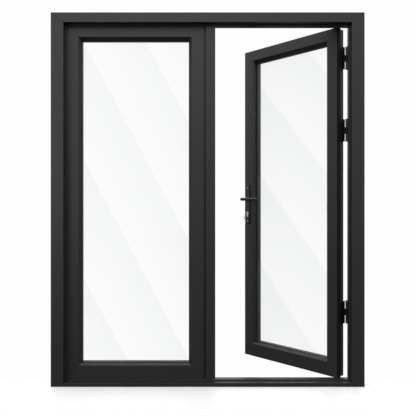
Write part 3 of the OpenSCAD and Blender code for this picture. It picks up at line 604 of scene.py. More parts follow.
# %% [markdown]
# ## The leaves
# Both leaves are built alike: four mitred bars with a grooved outer edge, a stepped back where
# the hinge plates lie, and a fixed lip that holds the glass from outside. On the room side,
# four clipped-in beads with a sloping face hold it, and that slope is what makes the bright
# inner line of the door. One function makes a leaf, and is called twice.

# %% Section of a stile or rail
groove_from, groove_to, groove_deep = 3 * mm, 14 * mm, 6 * mm
step_from, step_deep = 34 * mm, 4 * mm
lip, lip_thick = 18 * mm, 3 * mm
bead_width, bead_depth = 14 * mm, 27 * mm
LEAF_RADII = np.array([0.9, 0.6, 0.3, 0.6, 0.6, 0.8, 0.3, 0.6, 0.6, 0.3, 0.3, 0.6]) * mm


def leaf_outline(face, thick):
    """u from the leaf's edge to the glass, v from the room face outwards."""
    points = [(0, 0), (face, 0), (face, thick - lip_thick), (face + lip, thick - lip_thick),
              (face + lip, thick), (step_deep, thick), (step_deep, step_from), (0, step_from),
              (0, groove_to), (groove_deep, groove_to), (groove_deep, groove_from), (0, groove_from)]
    return rounded(points, LEAF_RADII, 2)


def bead_outline():
    """u from the stile inwards, v from the room face: a short flat, the slope, and the back."""
    points = [(0, 0), (3 * mm, 0), (bead_width, 11 * mm), (bead_width, bead_depth), (0, bead_depth)]
    return rounded(points, np.array([0.3, 0.5, 0.8, 0.3, 0.3]) * mm)


def glazing_section(width, show, thick):
    """Section of a gasket: flat on the glass, with a round lip past the bead's edge."""
    t = np.linspace(-np.pi / 2, np.pi / 2, 7)
    nose = np.stack([width + show - 2 * mm + 2 * mm * np.cos(t), thick / 2 + thick / 2 * np.sin(t)], axis=1)
    return counter_clockwise(np.vstack([[(0, 0)], nose, [(0, thick)]]))


# %% One leaf
def leaf(label, hinge_side, other_stile, body, turned):
    """The bars, beads and gaskets of a leaf. hinge_side is 1 where the hinges are at the right."""
    back_turn = open_angle if turned else 0.0
    stile_boxes = [corners(f"{label}_{name}", back_turn) for name in ("hinge_stile", other_stile)]
    low = np.minimum(*[box[0] for box in stile_boxes])
    high = np.maximum(*[box[1] for box in stile_boxes])
    beads_low, beads_high = corners(f"{label}_glazing_beads", back_turn)
    stile, bottom, top = beads_low[0] - low[0], beads_low[2] - low[2], high[2] - beads_high[2]
    thick = high[1] - low[1]
    width, height = high[0] - low[0], high[2] - low[2]
    stile_knots = [0, stile, stile + lip]
    low_knots, top_knots = [0, bottom, bottom + lip], [0, top, top + lip]
    parts = {}
    stile_cuts = mitre(stile_knots, low_knots), mitre(stile_knots, top_knots, height, -1)
    for name, sign in ((f"{label}_hinge_stile", hinge_side), (f"{label}_{other_stile}", -hinge_side)):
        corner = np.array([high[0] if sign > 0 else low[0], low[1], low[2]])
        shape = bar(leaf_outline(stile, thick), *stile_cuts, corner, Z, u=-sign * X)
        parts[name] = piece(f"{name}_bar", [shape], dark_coat, body, [name], open_leaf=turned)
    for name, face, knots, z, up in ((f"{label}_bottom_rail", bottom, low_knots, low[2], Z),
                                     (f"{label}_top_rail", top, top_knots, high[2], -Z)):
        corner = np.array([low[0], low[1], z])
        cuts = mitre(knots, stile_knots), mitre(knots, stile_knots, width, -1)
        shape = bar(leaf_outline(face, thick), *cuts, corner, X, u=up)
        parts[name] = piece(f"{name}_bar", [shape], dark_coat, body, [name], open_leaf=turned)
    bx, bz = beads_high[0] - beads_low[0], beads_high[2] - beads_low[2]
    slant = [0, bead_width]
    sides = [(beads_low, X, Z, bx), ((beads_low[0], low[1], beads_high[2]), X, -Z, bx),
             (beads_low, Z, X, bz), ((beads_high[0], low[1], beads_low[2]), Z, -X, bz)]
    beads = [bar(bead_outline(), mitre(slant, slant), mitre(slant, slant, run, -1),
                 np.array([corner[0], low[1], corner[2]]), along, u=inward, groove=0.4 * mm)
             for corner, along, inward, run in sides]
    piece(f"{label}_bead_set", beads, dark_coat, body,
          [f"{label}_glazing_beads"], open_leaf=turned)
    rect = (beads_low + 2 * mm)[[0, 2]], (beads_high - 2 * mm)[[0, 2]]
    pane_low, pane_high = corners(f"{label}_glass_panes", back_turn)
    inner = loop(glazing_section(bead_width, 3 * mm, 3 * mm), *rect, pane_low[1] - 3 * mm)
    outer = loop(glazing_section(lip, -1 * mm, 3 * mm), *rect, pane_high[1])
    piece(f"{label}_gasket_set", [inner, outer], rubber, body,
          [f"{label}_glazing_gaskets"], smooth=50, open_leaf=turned)
    print(label, "leaf:", np.round(high - low, 4), "stile", round(stile / mm), "mm")
    return parts, low, high


_, left_low, left_high = leaf("passive", -1, "meeting_stile", "passive_leaf", False)
right_parts, _, right_high = leaf("active", 1, "lock_stile", "active_leaf", True)

# %% [markdown]
# ## The mullion on the left leaf
# The left leaf carries a stem along its free edge, with a flat strip that covers the gap from
# the room. The right leaf shuts against the strip's seal. The stem is slotted for the thumb
# pieces of its two shoot bolts and has a steel keep for the lock.

# %% Mullion, caps and seal
strip_low, strip_high = corners("floating_mullion")
keep_low, keep_high = corners("mullion_lock_keep")
stem_right = keep_low[0]
stem_front = left_low[1] + groove_to
strip_left = left_high[0] + 11.5 * mm
strip_y = strip_low[1]
mullion_points = [(strip_left, strip_y), (strip_high[0], strip_y), (strip_high[0], strip_y + 8 * mm),
                  (stem_right, strip_y + 8 * mm), (stem_right, strip_high[1]), (strip_low[0], strip_high[1]),
                  (strip_low[0], stem_front), (strip_left, stem_front)]
mullion_outline = rounded(mullion_points, np.array([1.2, 1.2, 0.8, 0.3, 0.8, 0.3, 0.3, 0.3]) * mm)
mullion = piece("mullion_bar", [bar(mullion_outline, at(strip_low[2]), at(strip_high[2]), np.zeros(3), Z)],
                dark_coat, "passive_leaf", ["floating_mullion"])

latch_low, latch_high = corners("latch_bolt", open_angle)
dead_low, dead_high = corners("deadbolt", open_angle)
keep_y = (keep_low[1] + keep_high[1]) / 2


def window(low, high, grow=1 * mm, deep=13 * mm):
    """A pocket in the mullion's side facing a bolt of the right leaf."""
    return block([stem_right - deep, keep_y - 6 * mm - grow, low[2] - grow],
                 [keep_high[0] + 1 * mm, keep_y + 6 * mm + grow, high[2] + grow], 0.3 * mm)


windows = [window(latch_low, latch_high), window(dead_low, dead_high)]
bolt_travel = joints["top_bolt_slide"]["range_m"][1]
bottom_low, bottom_high = corners("shoot_bolt_bottom")
thumb, thumb_half = 24 * mm, 4.3 * mm
thumb_top = bolt_low[2] + 30 * mm
thumb_bottom = bottom_high[2] - 30 * mm - thumb
slots = [block([stem_right - 12 * mm, bolt_y - thumb_half, z - 1 * mm],
               [stem_right + 1 * mm, bolt_y + thumb_half, z + thumb + bolt_travel + 1 * mm], 0.3 * mm)
         for z in (thumb_top, thumb_bottom - bolt_travel)]
cut(mullion, windows + slots)

cap_low, cap_high = corners("mullion_end_caps")
cap_front = cap_low[1]
cap_outline = rounded([(strip_left, cap_front), (stem_right, cap_front), (stem_right, strip_high[1]),
                       (strip_low[0], strip_high[1]), (strip_low[0], stem_front), (strip_left, stem_front)],
                      np.array([0.8, 0.8, 0.8, 0.8, 0.8, 0.3]) * mm)
caps = piece("mullion_caps", [bar(cap_outline, at(z0), at(z1), np.zeros(3), Z, groove=0.4 * mm)
                              for z0, z1 in ((cap_low[2], strip_low[2]), (strip_high[2], cap_high[2]))],
             cap_plastic, "passive_leaf", ["mullion_end_caps"])
cut(caps, [bolt_cutter(z - 2 * mm, 9 * mm) for z in (cap_low[2], strip_high[2])])

strip_seal_low, strip_seal_high = corners("mullion_seal")
seal_profile = bulb(strip_seal_high[0] - strip_seal_low[0], strip_seal_high[1] - strip_seal_low[1])
piece("mullion_strip_seal", [bar(seal_profile, at(strip_seal_low[2]), at(strip_seal_high[2]),
                                 np.array([strip_seal_low[0], strip_seal_low[1], 0]), Z, groove=0.2 * mm)],
      rubber, "passive_leaf", ["mullion_seal"], smooth=40)

# %% Keeps and shoot bolts
keep = piece("lock_keep_plate", [block(keep_low, keep_high, 0.8 * mm)], lock_steel, "passive_leaf",
             ["mullion_lock_keep"])
cut(keep, windows)
plates_low, plates_high = corners("shoot_bolt_keeps")
plate_thick = 2.5 * mm
plates = []
for z in (plates_low[2], plates_high[2] - plate_thick):
    outline = rounded([(plates_low[0], plates_low[1]), (plates_high[0], plates_low[1]),
                       (plates_high[0], plates_high[1]), (plates_low[0], plates_high[1])], 3 * mm, 4)
    plates.append(bar(outline, at(z), at(z + plate_thick), np.zeros(3), Z, groove=0.4 * mm))
bolt_keeps = piece("bolt_keep_plates", plates, lock_steel, "frame", ["shoot_bolt_keeps"])
cut(bolt_keeps, [bolt_cutter(z - 1 * mm, plate_thick + 2 * mm)
                 for z in (plates_low[2], plates_high[2] - plate_thick)])


def shoot_bolt(low, high, thumb_z):
    """A round rod with rounded ends and its ribbed thumb piece."""
    radius, length = 6 * mm, high[2] - low[2]
    t = np.linspace(0, np.pi / 2, 5)
    nose = np.stack([radius - 1.5 * mm * (1 - np.sin(t)), 1.5 * mm * (1 - np.cos(t))], axis=1)
    profile = np.vstack([nose, (nose * [1, -1] + [0, length])[::-1]])
    rod = lathe(profile, np.array([bolt_x, bolt_y, low[2]]), Z, 32)
    pad = block([bolt_x, bolt_y - 4 * mm, thumb_z], [high[0], bolt_y + 4 * mm, thumb_z + thumb], 0.5 * mm)
    ridges = [block([high[0] - 1.3 * mm, bolt_y - 3.4 * mm, z],
                    [high[0] + 0.6 * mm, bolt_y + 3.4 * mm, z + 1.6 * mm])
              for z in np.linspace(thumb_z + 3 * mm, thumb_z + thumb - 4.6 * mm, 5)]
    return [rod, pad] + ridges


piece("top_shoot_bolt", shoot_bolt(bolt_low, bolt_high, thumb_top), lock_steel, "top_bolt",
      ["shoot_bolt_top"], smooth=40)
piece("bottom_shoot_bolt", shoot_bolt(bottom_low, bottom_high, thumb_bottom), lock_steel, "bottom_bolt",
      ["shoot_bolt_bottom"], smooth=40)
print("mullion, keeps and bolts made")

# %% [markdown]
# ## Hinges
# Each leaf hangs on three barrel hinges. A barrel is five drums in a row on one pin: the
# frame's two, the leaf's one, and between them the pale flanges of the bush it turns in. Each
# drum has a small chamfer, so that the joints show as rings. Plates reach from the drums to
# the jamb and to the leaf's edge, where four countersunk cross-head screws hold each.

# %% Drums, plates and screws
knuckle_radius = 8 * mm
hinge_height = 130 * mm
knuckle = hinge_height / 3
flange = 1.5 * mm
wing_thick = 2.5 * mm
pins_low, pins_high = corners("hinge_pins")
axis_x, axis_y = pins_high[0] - knuckle_radius, (pins_low[1] + pins_high[1]) / 2
SCREW_STEPS = np.array([-48, -16, 16, 48]) * mm


def hinge_heights():
    """Middle heights of the hinges: the gaps in the frame wings' points part them."""
    mesh = frame["nodes"]["hinge_frame_wings_right"].data
    z = np.sort(np.array([v.co.z for v in mesh.vertices]))
    breaks = np.flatnonzero(np.diff(z) > hinge_height / 2)
    parts = np.split(z, breaks + 1)
    return [(part[0] + part[-1]) / 2 for part in parts]


levels = hinge_heights()
print("hinges at", np.round(levels, 3))


def drum(radius, height, origin, chamfer=0.5 * mm, steps=40):
    """A turned cylinder with chamfered ends."""
    profile = [(radius - chamfer, 0), (radius, chamfer),
               (radius, height - chamfer), (radius - chamfer, height)]
    return lathe([(radius * 0.2, 0)] + profile + [(radius * 0.2, height)], origin, Z, steps)


def cross_slot(profile, angle):
    """Radii of a screw head's rings: round outside, and cross-shaped where the ring is below
    2.5 mm. A cross's edge is the nearer of an arm's end and its side."""
    arm, half_width = 2.3 * mm, 0.55 * mm
    fold = (angle + np.pi / 4) % (np.pi / 2) - np.pi / 4
    cross = np.minimum(arm / np.cos(fold), half_width / np.maximum(np.abs(np.sin(fold)), 1e-6))
    radius = profile[:, :1] * np.ones_like(angle)
    return np.where(profile[:, :1] < 2.5 * mm, cross * profile[:, :1] / arm, radius)


def screw(head, way):
    """A countersunk head with a cross slot, from its face inwards along way, and its shank."""
    arm = 2.3 * mm
    profile = [(0.2 * mm, 1.4 * mm), (arm * 0.8, 1.4 * mm), (arm, 0.05 * mm), (2.6 * mm, 0.02 * mm),
               (4.2 * mm, 0), (4.4 * mm, 0.2 * mm), (2.5 * mm, 2.1 * mm), (2.5 * mm, 6 * mm),
               (0.5 * mm, 6 * mm)]
    return lathe(np.array(profile), head, np.asarray(way, float), 24, cross_slot)


def hinge_set(side, label, body, turned):
    """All hinge pieces of one side. side is 1 at the right, and x grows outwards."""
    reveal = side * (frame_width / 2 - jamb_face)
    leaf_high = right_high[1] if turned else left_high[1]
    leaf_edge = right_high[0] if turned else left_low[0]
    plate_front = leaf_high - 28 * mm
    plate_end = axis_y - knuckle_radius - 0.5 * mm
    screw_y = (leaf_high + plate_front) / 2
    centre = np.array([side * axis_x, axis_y, 0])
    wings, leaf_wings, bushes, pins, frame_screws, leaf_screws = [], [], [], [], [], []
    for z in levels:
        plate_low = np.array([reveal, plate_front - 2 * mm, z - hinge_height / 2 + 1 * mm])
        plate_high = [reveal - side * wing_thick, plate_end, z + hinge_height / 2 - 1 * mm]
        wings.append(block(plate_low, plate_high, 0.5 * mm))
        for end in (-1, 1):
            middle = z + end * knuckle
            wings.append(block([reveal, plate_end - 2 * mm, middle - knuckle / 2 + 1 * mm],
                               [reveal - side * wing_thick, axis_y - 3 * mm,
                                 middle + knuckle / 2 - 1 * mm], 0.5 * mm))
            wings.append(drum(knuckle_radius, knuckle, centre + (middle - knuckle / 2) * Z))
        step = leaf_edge - side * step_deep
        leaf_wings.append(block([step, plate_front, z - hinge_height / 2],
                                [step + side * wing_thick, plate_end, z + hinge_height / 2], 0.5 * mm))
        short = knuckle - 2 * flange - 0.3 * mm
        leaf_wings.append(block([step, plate_end - 1 * mm, z - short / 2],
                                [step + side * 3.5 * mm, axis_y - 3 * mm, z + short / 2], 0.5 * mm))
        leaf_wings.append(drum(knuckle_radius, short, centre + (z - short / 2) * Z))
        for end in (-1, 1):
            foot = z + end * (knuckle / 2 - 0.15 * mm - flange / 2) - flange / 2
            bushes.append(drum(knuckle_radius, flange, centre + foot * Z, 0.2 * mm))
        cap = z + hinge_height / 2
        pins.append(lathe([(knuckle_radius * 0.2, 0), (knuckle_radius, 0), (knuckle_radius, 1.6 * mm),
                           (knuckle_radius - 0.6 * mm, 2.6 * mm), (knuckle_radius - 2 * mm, 3 * mm),
                           (0.5 * mm, 3 * mm)], centre + cap * Z, Z, 40))
        for dz in SCREW_STEPS:
            proud = wing_thick + 0.05 * mm
            frame_screws.append(screw(np.array([reveal - side * proud, screw_y, z + dz]), side * X))
            leaf_screws.append(screw(np.array([step + side * proud, screw_y, z + dz]), -side * X))
    word = "right" if side > 0 else "left"
    piece(f"{word}_frame_hinge_wings", wings, hinge_steel, "frame",
          [f"hinge_frame_wings_{word}"], smooth=40)
    piece(f"{label}_leaf_hinge_wings", leaf_wings, hinge_steel, body,
          [f"{label}_hinge_wings"], smooth=40, open_leaf=turned)
    piece(f"{label}_bush_flanges", bushes, bush_plastic, body,
          [f"{label}_hinge_bushes"], smooth=40, open_leaf=turned)
    piece(f"{label}_wing_screws", leaf_screws, lock_steel, body,
          [f"{label}_hinge_screws"], smooth=30, open_leaf=turned)
    return frame_screws, pins


right_screws, right_pins = hinge_set(1, "active", "active_leaf", True)
left_screws, left_pins = hinge_set(-1, "passive", "passive_leaf", False)
piece("frame_wing_screws", right_screws + left_screws, lock_steel, "frame",
      ["hinge_frame_screws"], smooth=30)
piece("hinge_pin_caps", right_pins + left_pins, hinge_steel, "frame",
      ["hinge_pins"], smooth=40)
print(len(right_pins + left_pins), "hinges hung")

# %% [markdown]
# ## Lock plate and bolts
# A long steel plate is let into the edge of the right leaf. The latch bolt with its slanted
# nose stands out of it, and the deadbolt lies flush until the key is turned. The plate's
# pocket and its openings are cut with the same blocks that the bolts follow, a little larger.

# %% Faceplate, latch and deadbolt
face_low, face_high = corners("lock_faceplate", open_angle)
lock_y = (face_low[1] + face_high[1]) / 2
face_outline = rounded([(face_low[1], face_low[2]), (face_high[1], face_low[2]),
                        (face_high[1], face_high[2]), (face_low[1], face_high[2])], 2.5 * mm, 4)
face_plate = stand(face_outline, edge_steps(0.4 * mm, face_high[0] - face_low[0]),
                   np.array([face_high[0], 0, 0]), Y, Z, -X)
pocket = block(face_low - np.array([1, 0.3, 0.3]) * mm, face_high + np.array([0, 0.3, 0.3]) * mm, 0.2 * mm)
cut(right_parts["active_lock_stile"], [pocket], open_leaf=True)
plate_holes = [block(low + np.array([-5, -0.3, -0.3]) * mm, high + np.array([0, 0.3, 0.3]) * mm, 0.2 * mm)
               for low, high in ((latch_low, latch_high), (dead_low - 8 * mm * X, dead_high))]
faceplate = piece("lock_face_plate", [face_plate], lock_steel, "active_leaf",
                  ["lock_faceplate"], smooth=30, open_leaf=True)
cut(faceplate, plate_holes, open_leaf=True)

nose = latch_high[1] - latch_low[1]
nose_out = 11 * mm
latch_points = [(latch_low[0], latch_low[1]), (latch_high[0], latch_low[1]), (latch_high[0], latch_high[1]),
                (latch_low[0] + nose_out, latch_high[1]), (latch_low[0] + 1.5 * mm, latch_low[1] + 1 * mm)]
latch_outline = rounded(latch_points, np.array([0.3, 0.3, 0.3, 1.5, 0.6]) * mm)
latch_nose = bar(latch_outline, at(latch_low[2]), at(latch_high[2]), np.zeros(3), Z, groove=0.5 * mm)
piece("latch_bolt_nose", [latch_nose],
      lock_steel, "latch", ["latch_bolt"], open_leaf=True)
piece("deadbolt_block", [block(dead_low, dead_high, 0.8 * mm)], lock_steel, "deadbolt",
      ["deadbolt"], open_leaf=True)

# %% [markdown]
# ## Handle
# Each side has a long plate with round ends and a soft front edge. The room side has a lever,
# which is one path: straight out of the plate, round a quarter bend, and along the grip. Its
# section is an oval that swells at the bend and tapers to the grip's end, where it closes in a
# small dome. The outside has a fixed D-shaped pull, a round bar bent through two corners.

# %% Backplates
inside_low, inside_high = corners("handle_backplate_inside", open_angle)
outside_low = corners("handle_backplate_outside", open_angle)[0]
plate_half = (inside_high[0] - inside_low[0]) / 2
plate_centre = (inside_low + inside_high) / 2
plate_long = (inside_high[2] - inside_low[2]) / 2 - plate_half
plate_deep = inside_high[1] - inside_low[1]
lever_low, lever_high = corners("lever_inside", open_angle)
neck_radius = 11 * mm
lever_x = lever_low[0] + neck_radius
lever_z = (lever_low[2] + lever_high[2]) / 2
cylinder_low, cylinder_high = corners("cylinder_plug", open_angle)
lock_x = (cylinder_low[0] + cylinder_high[0]) / 2
cylinder_z = cylinder_high[2] - 8.5 * mm


def stadium(half, long, steps=17):
    """Two half circles of radius half, their centres 2 * long apart, as one outline."""
    t = np.linspace(0, np.pi, steps)
    top = np.stack([half * np.cos(t), long + half * np.sin(t)], axis=1)
    return np.vstack([top, -top])


def backplate(name, face_y, way, node, rings_out):
    """A stadium with a rounded front edge, and a low collar wherever something stands on it.
    rings_out lists each collar's place (x, z) and radius."""
    origin = np.array([plate_centre[0], face_y, plate_centre[2]])
    shells = [stand(stadium(plate_half, plate_long), edge_steps(2.5 * mm, plate_deep, 5),
                    origin, X, Z, way * Y)]
    t = np.linspace(0, np.pi / 2, 5)
    for x, z, radius in rings_out:
        arc = np.stack([radius - 1 * mm * (1 - np.cos(t)), 1.5 * mm + 1 * mm * np.sin(t)], axis=1)
        profile = np.vstack([[(2 * mm, 0), (radius, 0)], arc, [(2 * mm, 2.5 * mm)]])
        shells.append(lathe(profile, np.array([x, face_y + way * (plate_deep - 1 * mm), z]), way * Y, 48))
    return piece(name, shells, handle_coat, "active_leaf", [node], smooth=35, open_leaf=True)


backplate("inside_backplate", inside_high[1], -1, "handle_backplate_inside", [(lever_x, lever_z, 14 * mm)])
backplate("outside_backplate", outside_low[1], 1, "handle_backplate_outside", [])

# %% Lever and pull
grip_out = inside_high[1] - lever_low[1] - neck_radius
grip_end = lever_high[0] - lever_x
bend = 17 * mm
tip_high, tip_deep = 6.6 * mm, 5.6 * mm


def lever(face_y):
    """Path (x, out): up to the bend, a quarter circle, then along the grip. Around it an oval
    whose half height and half depth follow the distance gone."""
    rise = grip_out - bend
    run = grip_end - bend - 1.5 * mm
    a = np.linspace(0, 1, 5)[:-1] * rise
    q = np.linspace(0, np.pi / 2, 11)[:-1]
    g = np.linspace(0, 1, 15)
    x = np.concatenate([0 * a, bend * (1 - np.cos(q)), bend + g * run])
    out = np.concatenate([a, rise + bend * np.sin(q), grip_out + 0 * g])
    gone = np.concatenate([[0], np.cumsum(np.hypot(np.diff(x), np.diff(out)))])
    share = gone / gone[-1]
    swell = np.exp(-((share - 0.38) / 0.16) ** 2)
    half_high = 10.0 * mm + (tip_high - 10.0 * mm) * share**1.2 + 1.2 * mm * swell
    half_deep = 9.6 * mm + (tip_deep - 9.6 * mm) * share**1.1
    dome = np.linspace(0, 1, 7)[1:]
    shrink = np.sqrt(1 - (dome * 0.985) ** 2)
    x = np.concatenate([x, x[-1] + dome * 6 * mm])
    out = np.concatenate([out, out[-1] + 0 * dome])
    half_high = np.concatenate([half_high, half_high[-1] * shrink])
    half_deep = np.concatenate([half_deep, half_deep[-1] * shrink])
    ahead = np.stack([np.gradient(x), np.gradient(out)], axis=1)
    ahead[-7:] = (1, 0)
    ahead = unit(ahead)
    aside = np.stack([ahead[:, 1], -ahead[:, 0]], axis=1)
    angle = np.linspace(0, 2 * np.pi, 40, endpoint=False)
    c, s = np.cos(angle), np.sin(angle)
    px = lever_x + x[:, None] + aside[:, :1] * half_deep[:, None] * c
    py = face_y - out[:, None] - aside[:, 1:] * half_deep[:, None] * c
    pz = lever_z + half_high[:, None] * s
    rings = np.stack([px, py, np.broadcast_to(pz, px.shape)], axis=-1)
    return piece("inside_lever", [shell(rings)], handle_coat, "lever", ["lever_inside"],
                 smooth=60, open_leaf=True)


def pull(low, high):
    """A round bar along the path: out of the plate, a quarter bend, upright, a bend, and back."""
    radius = (high[0] - low[0]) / 2
    turn = 13 * mm
    x, reach = (low[0] + high[0]) / 2, high[1] - radius
    q = np.linspace(0, np.pi / 2, 9)
    bend_y = reach - turn + turn * np.sin(q)
    bend_z = low[2] + radius + turn * (1 - np.cos(q))
    foot = np.linspace(low[1], bend_y[0], 5)[:-1]
    y = np.concatenate([foot, bend_y])
    z = np.concatenate([low[2] + radius + 0 * foot, bend_z])
    y, z = np.concatenate([y, y[::-1]]), np.concatenate([z, (low[2] + high[2] - z)[::-1]])
    ahead = unit(np.stack([np.gradient(y), np.gradient(z)], axis=1))
    angle = np.linspace(0, 2 * np.pi, 28, endpoint=False)
    c, s = radius * np.cos(angle), radius * np.sin(angle)
    rings = np.stack([x + c + 0 * y[:, None], y[:, None] + ahead[:, 1:] * s,
                      z[:, None] - ahead[:, :1] * s], axis=-1)
    return piece("outside_pull", [shell(rings)], handle_coat, "active_leaf",
                 ["pull_outside"], smooth=60, open_leaf=True)


lever(inside_high[1])
pull(*corners("pull_outside", open_angle))
print("grip stands", round(grip_out / mm), "mm off the leaf")

# %% Handle and faceplate screws
plate_screw_z = [inside_low[2] + 20 * mm, inside_high[2] - 20 * mm]
heads = []
for z in plate_screw_z:
    head = np.array([plate_centre[0], inside_low[1] - 1.2 * mm, z])
    t = np.linspace(0, np.pi / 2, 5)
    dome = [(4.4 * mm * math.sin(v) + 0.1 * mm, 1.0 * mm * (1 - math.cos(v))) for v in t[1:]]
    slot_profile = [(0.2 * mm, 1.2 * mm), (1.9 * mm, 1.2 * mm), (2.3 * mm, 0.12 * mm), (2.7 * mm, 0.16 * mm)]
    heads.append(lathe(np.array(slot_profile + dome[2:] + [(4.5 * mm, 1.2 * mm), (2 * mm, 1.3 * mm)]),
                       head, Y, 32, cross_slot))
face_screws = [screw(np.array([face_low[0] - 0.05 * mm, lock_y, z]), X)
               for z in (face_low[2] + 10 * mm, face_high[2] - 10 * mm)]
piece("handle_and_plate_screws", heads + face_screws, lock_steel, "active_leaf",
      ["handle_screws"], smooth=30, open_leaf=True)

# %% [markdown]
# ## Keys
# A key stands in the lock and its ring carries a spare, which hangs straight down. A key is a
# flat blank: a broad round bow, a shoulder, and a blade with a stepped edge. The outline is
# drawn once, given its thickness with a small bevel, and drilled for the ring. The ring is the
# usual split ring, a wire wound twice round.

# %% Key outline
key_low, key_high = corners("key", open_angle)
ring_low, ring_high = corners("key_ring", open_angle)
spare_high = corners("spare_key", open_angle)[1]
key_thick = key_high[0] - key_low[0]
bow = 11 * mm
BITES = np.array([1.6, 0.5, 2.3, 1.1, 1.9]) * mm
blade_long = 24 * mm


def key_outline():
    """Along the key from its ring hole at 0: the bow is a circle pinched at its shoulders, the
    blade's upper edge is straight, and each bite is a flat between two slopes."""
    middle = 6.5 * mm
    t = np.linspace(np.radians(25), np.radians(335), 33)
    wave = 1 - 0.05 * np.cos(3 * t)
    bow_edge = np.stack([middle + bow * wave * np.cos(t), bow * wave * np.sin(t)], axis=1)
    start = middle + bow
    pitch = (blade_long - 5 * mm) / len(BITES)
    x = start + 3 * mm + pitch * (np.arange(len(BITES))[:, None] + np.array([0, 0.25, 0.6, 0.85]))
    y = -4 * mm + BITES[:, None] * np.array([0, 1, 1, 0]) + 0 * x
    bites = np.stack([x.ravel(), y.ravel()], axis=1)
    end = start + blade_long
    tip = [(end - 1 * mm, -2.2 * mm), (end, 0), (end - 3 * mm, 4 * mm)]
    shoulder_low, shoulder_top = [(start + 1 * mm, -4 * mm)], [(start - 1 * mm, 4 * mm)]
    return counter_clockwise(np.vstack([bow_edge, shoulder_low, bites, tip, shoulder_top]))


def key(name, body, node, origin, along, across):
    """The outline in the plane of along and across, with a bevelled thickness."""
    outline = key_outline()
    bevel = 0.25 * mm
    depths = [(bevel, -key_thick / 2), (0, bevel - key_thick / 2),
              (0, key_thick / 2 - bevel), (bevel, key_thick / 2)]
    blank = stand(outline, depths, origin, along, across, X)
    made = piece(name, [blank], key_nickel, body, [node], smooth=25, open_leaf=True)
    hole = lathe([(3 * mm, 0), (3 * mm, 2 * key_thick)], origin - key_thick * X, X, 32)
    runs = [origin + (20 * mm) * along + side * (key_thick / 2) * X for side in (-1, 1)]
    slots = [shell(np.array([[p + a * along + h * across + d * X for h, d in
                              ((-0.2 * mm, -0.35 * mm), (1.1 * mm, -0.35 * mm),
                                (1.1 * mm, 0.35 * mm), (-0.2 * mm, 0.35 * mm))]
                             for a in (0, 19 * mm)])) for p in runs]
    cut(made, [hole] + slots, open_leaf=True)
    return made


hole_y = key_low[1] + (bow - 6.5 * mm)
key("lock_key", "key", "key", np.array([lock_x, hole_y, cylinder_z]), Y, Z)
spare_hole = spare_high[2] - (bow - 6.5 * mm)
key("hanging_spare_key", "key_ring", "spare_key", np.array([lock_x, hole_y, spare_hole]), -Z, Y)

# %% Split ring and plug
ring_centre = (ring_low + ring_high) / 2
ring_radius = (ring_high[0] - ring_low[0]) / 2
wire = 0.5 * mm
turns = np.linspace(0, 4 * np.pi, 97)
coil = ring_radius - wire
path = ring_centre + np.stack([coil * np.cos(turns), 0.45 * mm * (turns / (2 * np.pi) - 1),
                               coil * np.sin(turns)], axis=1)
radial = np.stack([np.cos(turns), 0 * turns, np.sin(turns)], axis=1)
phi = np.linspace(0, 2 * np.pi, 12, endpoint=False)
taper = np.where((turns < 0.05) | (turns > 4 * np.pi - 0.05), 0.5, 1.0)[:, None, None]
across_wire = np.cos(phi)[None, :, None] * radial[:, None] + np.sin(phi)[None, :, None] * Y
tube = path[:, None] + wire * taper * across_wire
piece("split_key_ring", [shell(tube)], key_nickel, "key_ring", ["key_ring"],
      smooth=60, open_leaf=True)

plug = 6.5 * mm
plug_profile = [(1 * mm, 0), (plug - 1.2 * mm, 0), (plug - 0.6 * mm, 0.25 * mm), (plug, 0.8 * mm),
                (plug, 30 * mm), (1 * mm, 30 * mm)]
plug_front = np.array([lock_x, cylinder_low[1], cylinder_z])
plug_piece = piece("key_plug", [lathe(plug_profile, plug_front, Y, 40)], key_nickel, "key",
                   ["cylinder_plug"], smooth=40, open_leaf=True)
slit = block([lock_x - 1.3 * mm, cylinder_low[1] - 1 * mm, cylinder_z - 4.2 * mm],
             [lock_x + 1.3 * mm, cylinder_low[1] + 12 * mm, cylinder_z + 4.2 * mm], 0.2 * mm)
cut(plug_piece, [slit], open_leaf=True)
print("keys made")

# %% [markdown]
# ## Studio
# The door stands on a pale floor in a white room, seen straight on from the height of a hand.
# The floor fades out a short way in front of the door and behind its front face, so only a
# shadow under the frame is left of it. It is hidden from diffuse and glossy rays, so it
# neither lights the door nor shows in its reflections. A wide soft light hangs in front and
# above, and a small one stands low at the left. The world is nearly white where the camera
# sees it, and for everything else its sky is brighter than its ground.

# %% Floor and camera
f = Finish("studio_floor", Roughness=0.32, Specular_IOR_Level=0.25)
ahead = f.node("ShaderNodeSeparateXYZ", {}, {0: f.place}, "Y")
ease = {"data_type": "FLOAT", "interpolation_type": "SMOOTHSTEP"}
near = f.node("ShaderNodeMapRange", ease, {"Value": ahead, "From Min": -0.62, "From Max": -0.12})
front = f.node("ShaderNodeMapRange", ease, {"Value": ahead, "From Min": 0.06, "From Max": -0.04})
f.drive(Base_Color=f.between(f.noise(0.8, 2.0), (0.93, 0.93, 0.93), (0.96, 0.96, 0.96)), Alpha=near * front)
floor_mesh = bpy.data.meshes.new("floor")
floor_mesh.from_pydata([(-6, -3, 0), (6, -3, 0), (6, 3, 0), (-6, 3, 0)], [], [(0, 1, 2, 3)])
floor_mesh.materials.append(f.material)
floor = bpy.data.objects.new("floor", floor_mesh)
bpy.context.scene.collection.objects.link(floor)
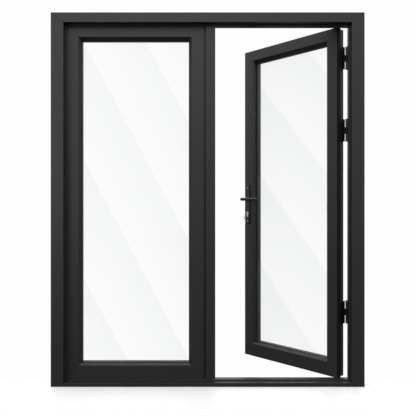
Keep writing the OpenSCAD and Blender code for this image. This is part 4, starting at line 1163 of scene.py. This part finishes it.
floor.visible_diffuse = floor.visible_glossy = False

eye = (0.0019, -3.488, 1.003)
camera = bpy.data.objects.new("camera", bpy.data.cameras.new("camera"))
bpy.context.scene.collection.objects.link(camera)
camera.location = eye
camera.rotation_euler = (math.pi / 2, 0, 0)
camera.data.sensor_width = 36  # mm
camera.data.lens = 52.94  # mm
bpy.context.scene.camera = camera
bpy.context.scene.view_settings.view_transform = "Standard"

# %% Lights
def softbox(name, place, target, size, power):
    """A square area light of a size in metres and a power in watts, aimed at a target, unseen."""
    lamp = bpy.data.lights.new(name, "AREA")
    lamp.size, lamp.energy = size, power
    light = bpy.data.objects.new(name, lamp)
    bpy.context.scene.collection.objects.link(light)
    aim = unit(np.asarray(place, float) - np.asarray(target, float))
    yaw = math.atan2(aim[1], aim[0]) + math.pi / 2
    light.location = place
    light.rotation_euler = (math.acos(aim[2]), 0, yaw)
    light.visible_camera = False
    return light


softbox("front_softbox", (-0.6, -3.2, 3.4), (0, 0, 1.5), size=2.4, power=14)
softbox("side_softbox", (-2.4, -2.6, 1.3), (0.3, 0.5, 1.0), size=0.5, power=12)

world = bpy.data.worlds.new("studio_world")
bpy.context.scene.world = world
world.use_nodes = True
tree = world.node_tree
background = tree.nodes["Background"]


class Sky(Finish):
    """The world's node tree, built with the same method as a material's."""

    def __init__(self, world_tree):
        self.tree = world_tree


sky = Sky(tree)
way = sky.node("ShaderNodeTexCoord", {}, {}, "Generated")
up = sky.node("ShaderNodeSeparateXYZ", {}, {0: way}, "Z")
ramp = {"data_type": "FLOAT", "interpolation_type": "SMOOTHSTEP"}
bright = sky.node("ShaderNodeMapRange", ramp, {"Value": up, "From Min": -0.4, "From Max": 0.75,
                                               "To Min": 0.08, "To Max": 1.5})
seen = sky.node("ShaderNodeLightPath", {}, {}, "Is Camera Ray")
backdrop = 0.985
strength = seen * backdrop + (1 - seen) * bright
tree.links.new(strength.socket, background.inputs["Strength"])
background.inputs["Color"].default_value = (1, 1, 1, 1)
print("studio ready")
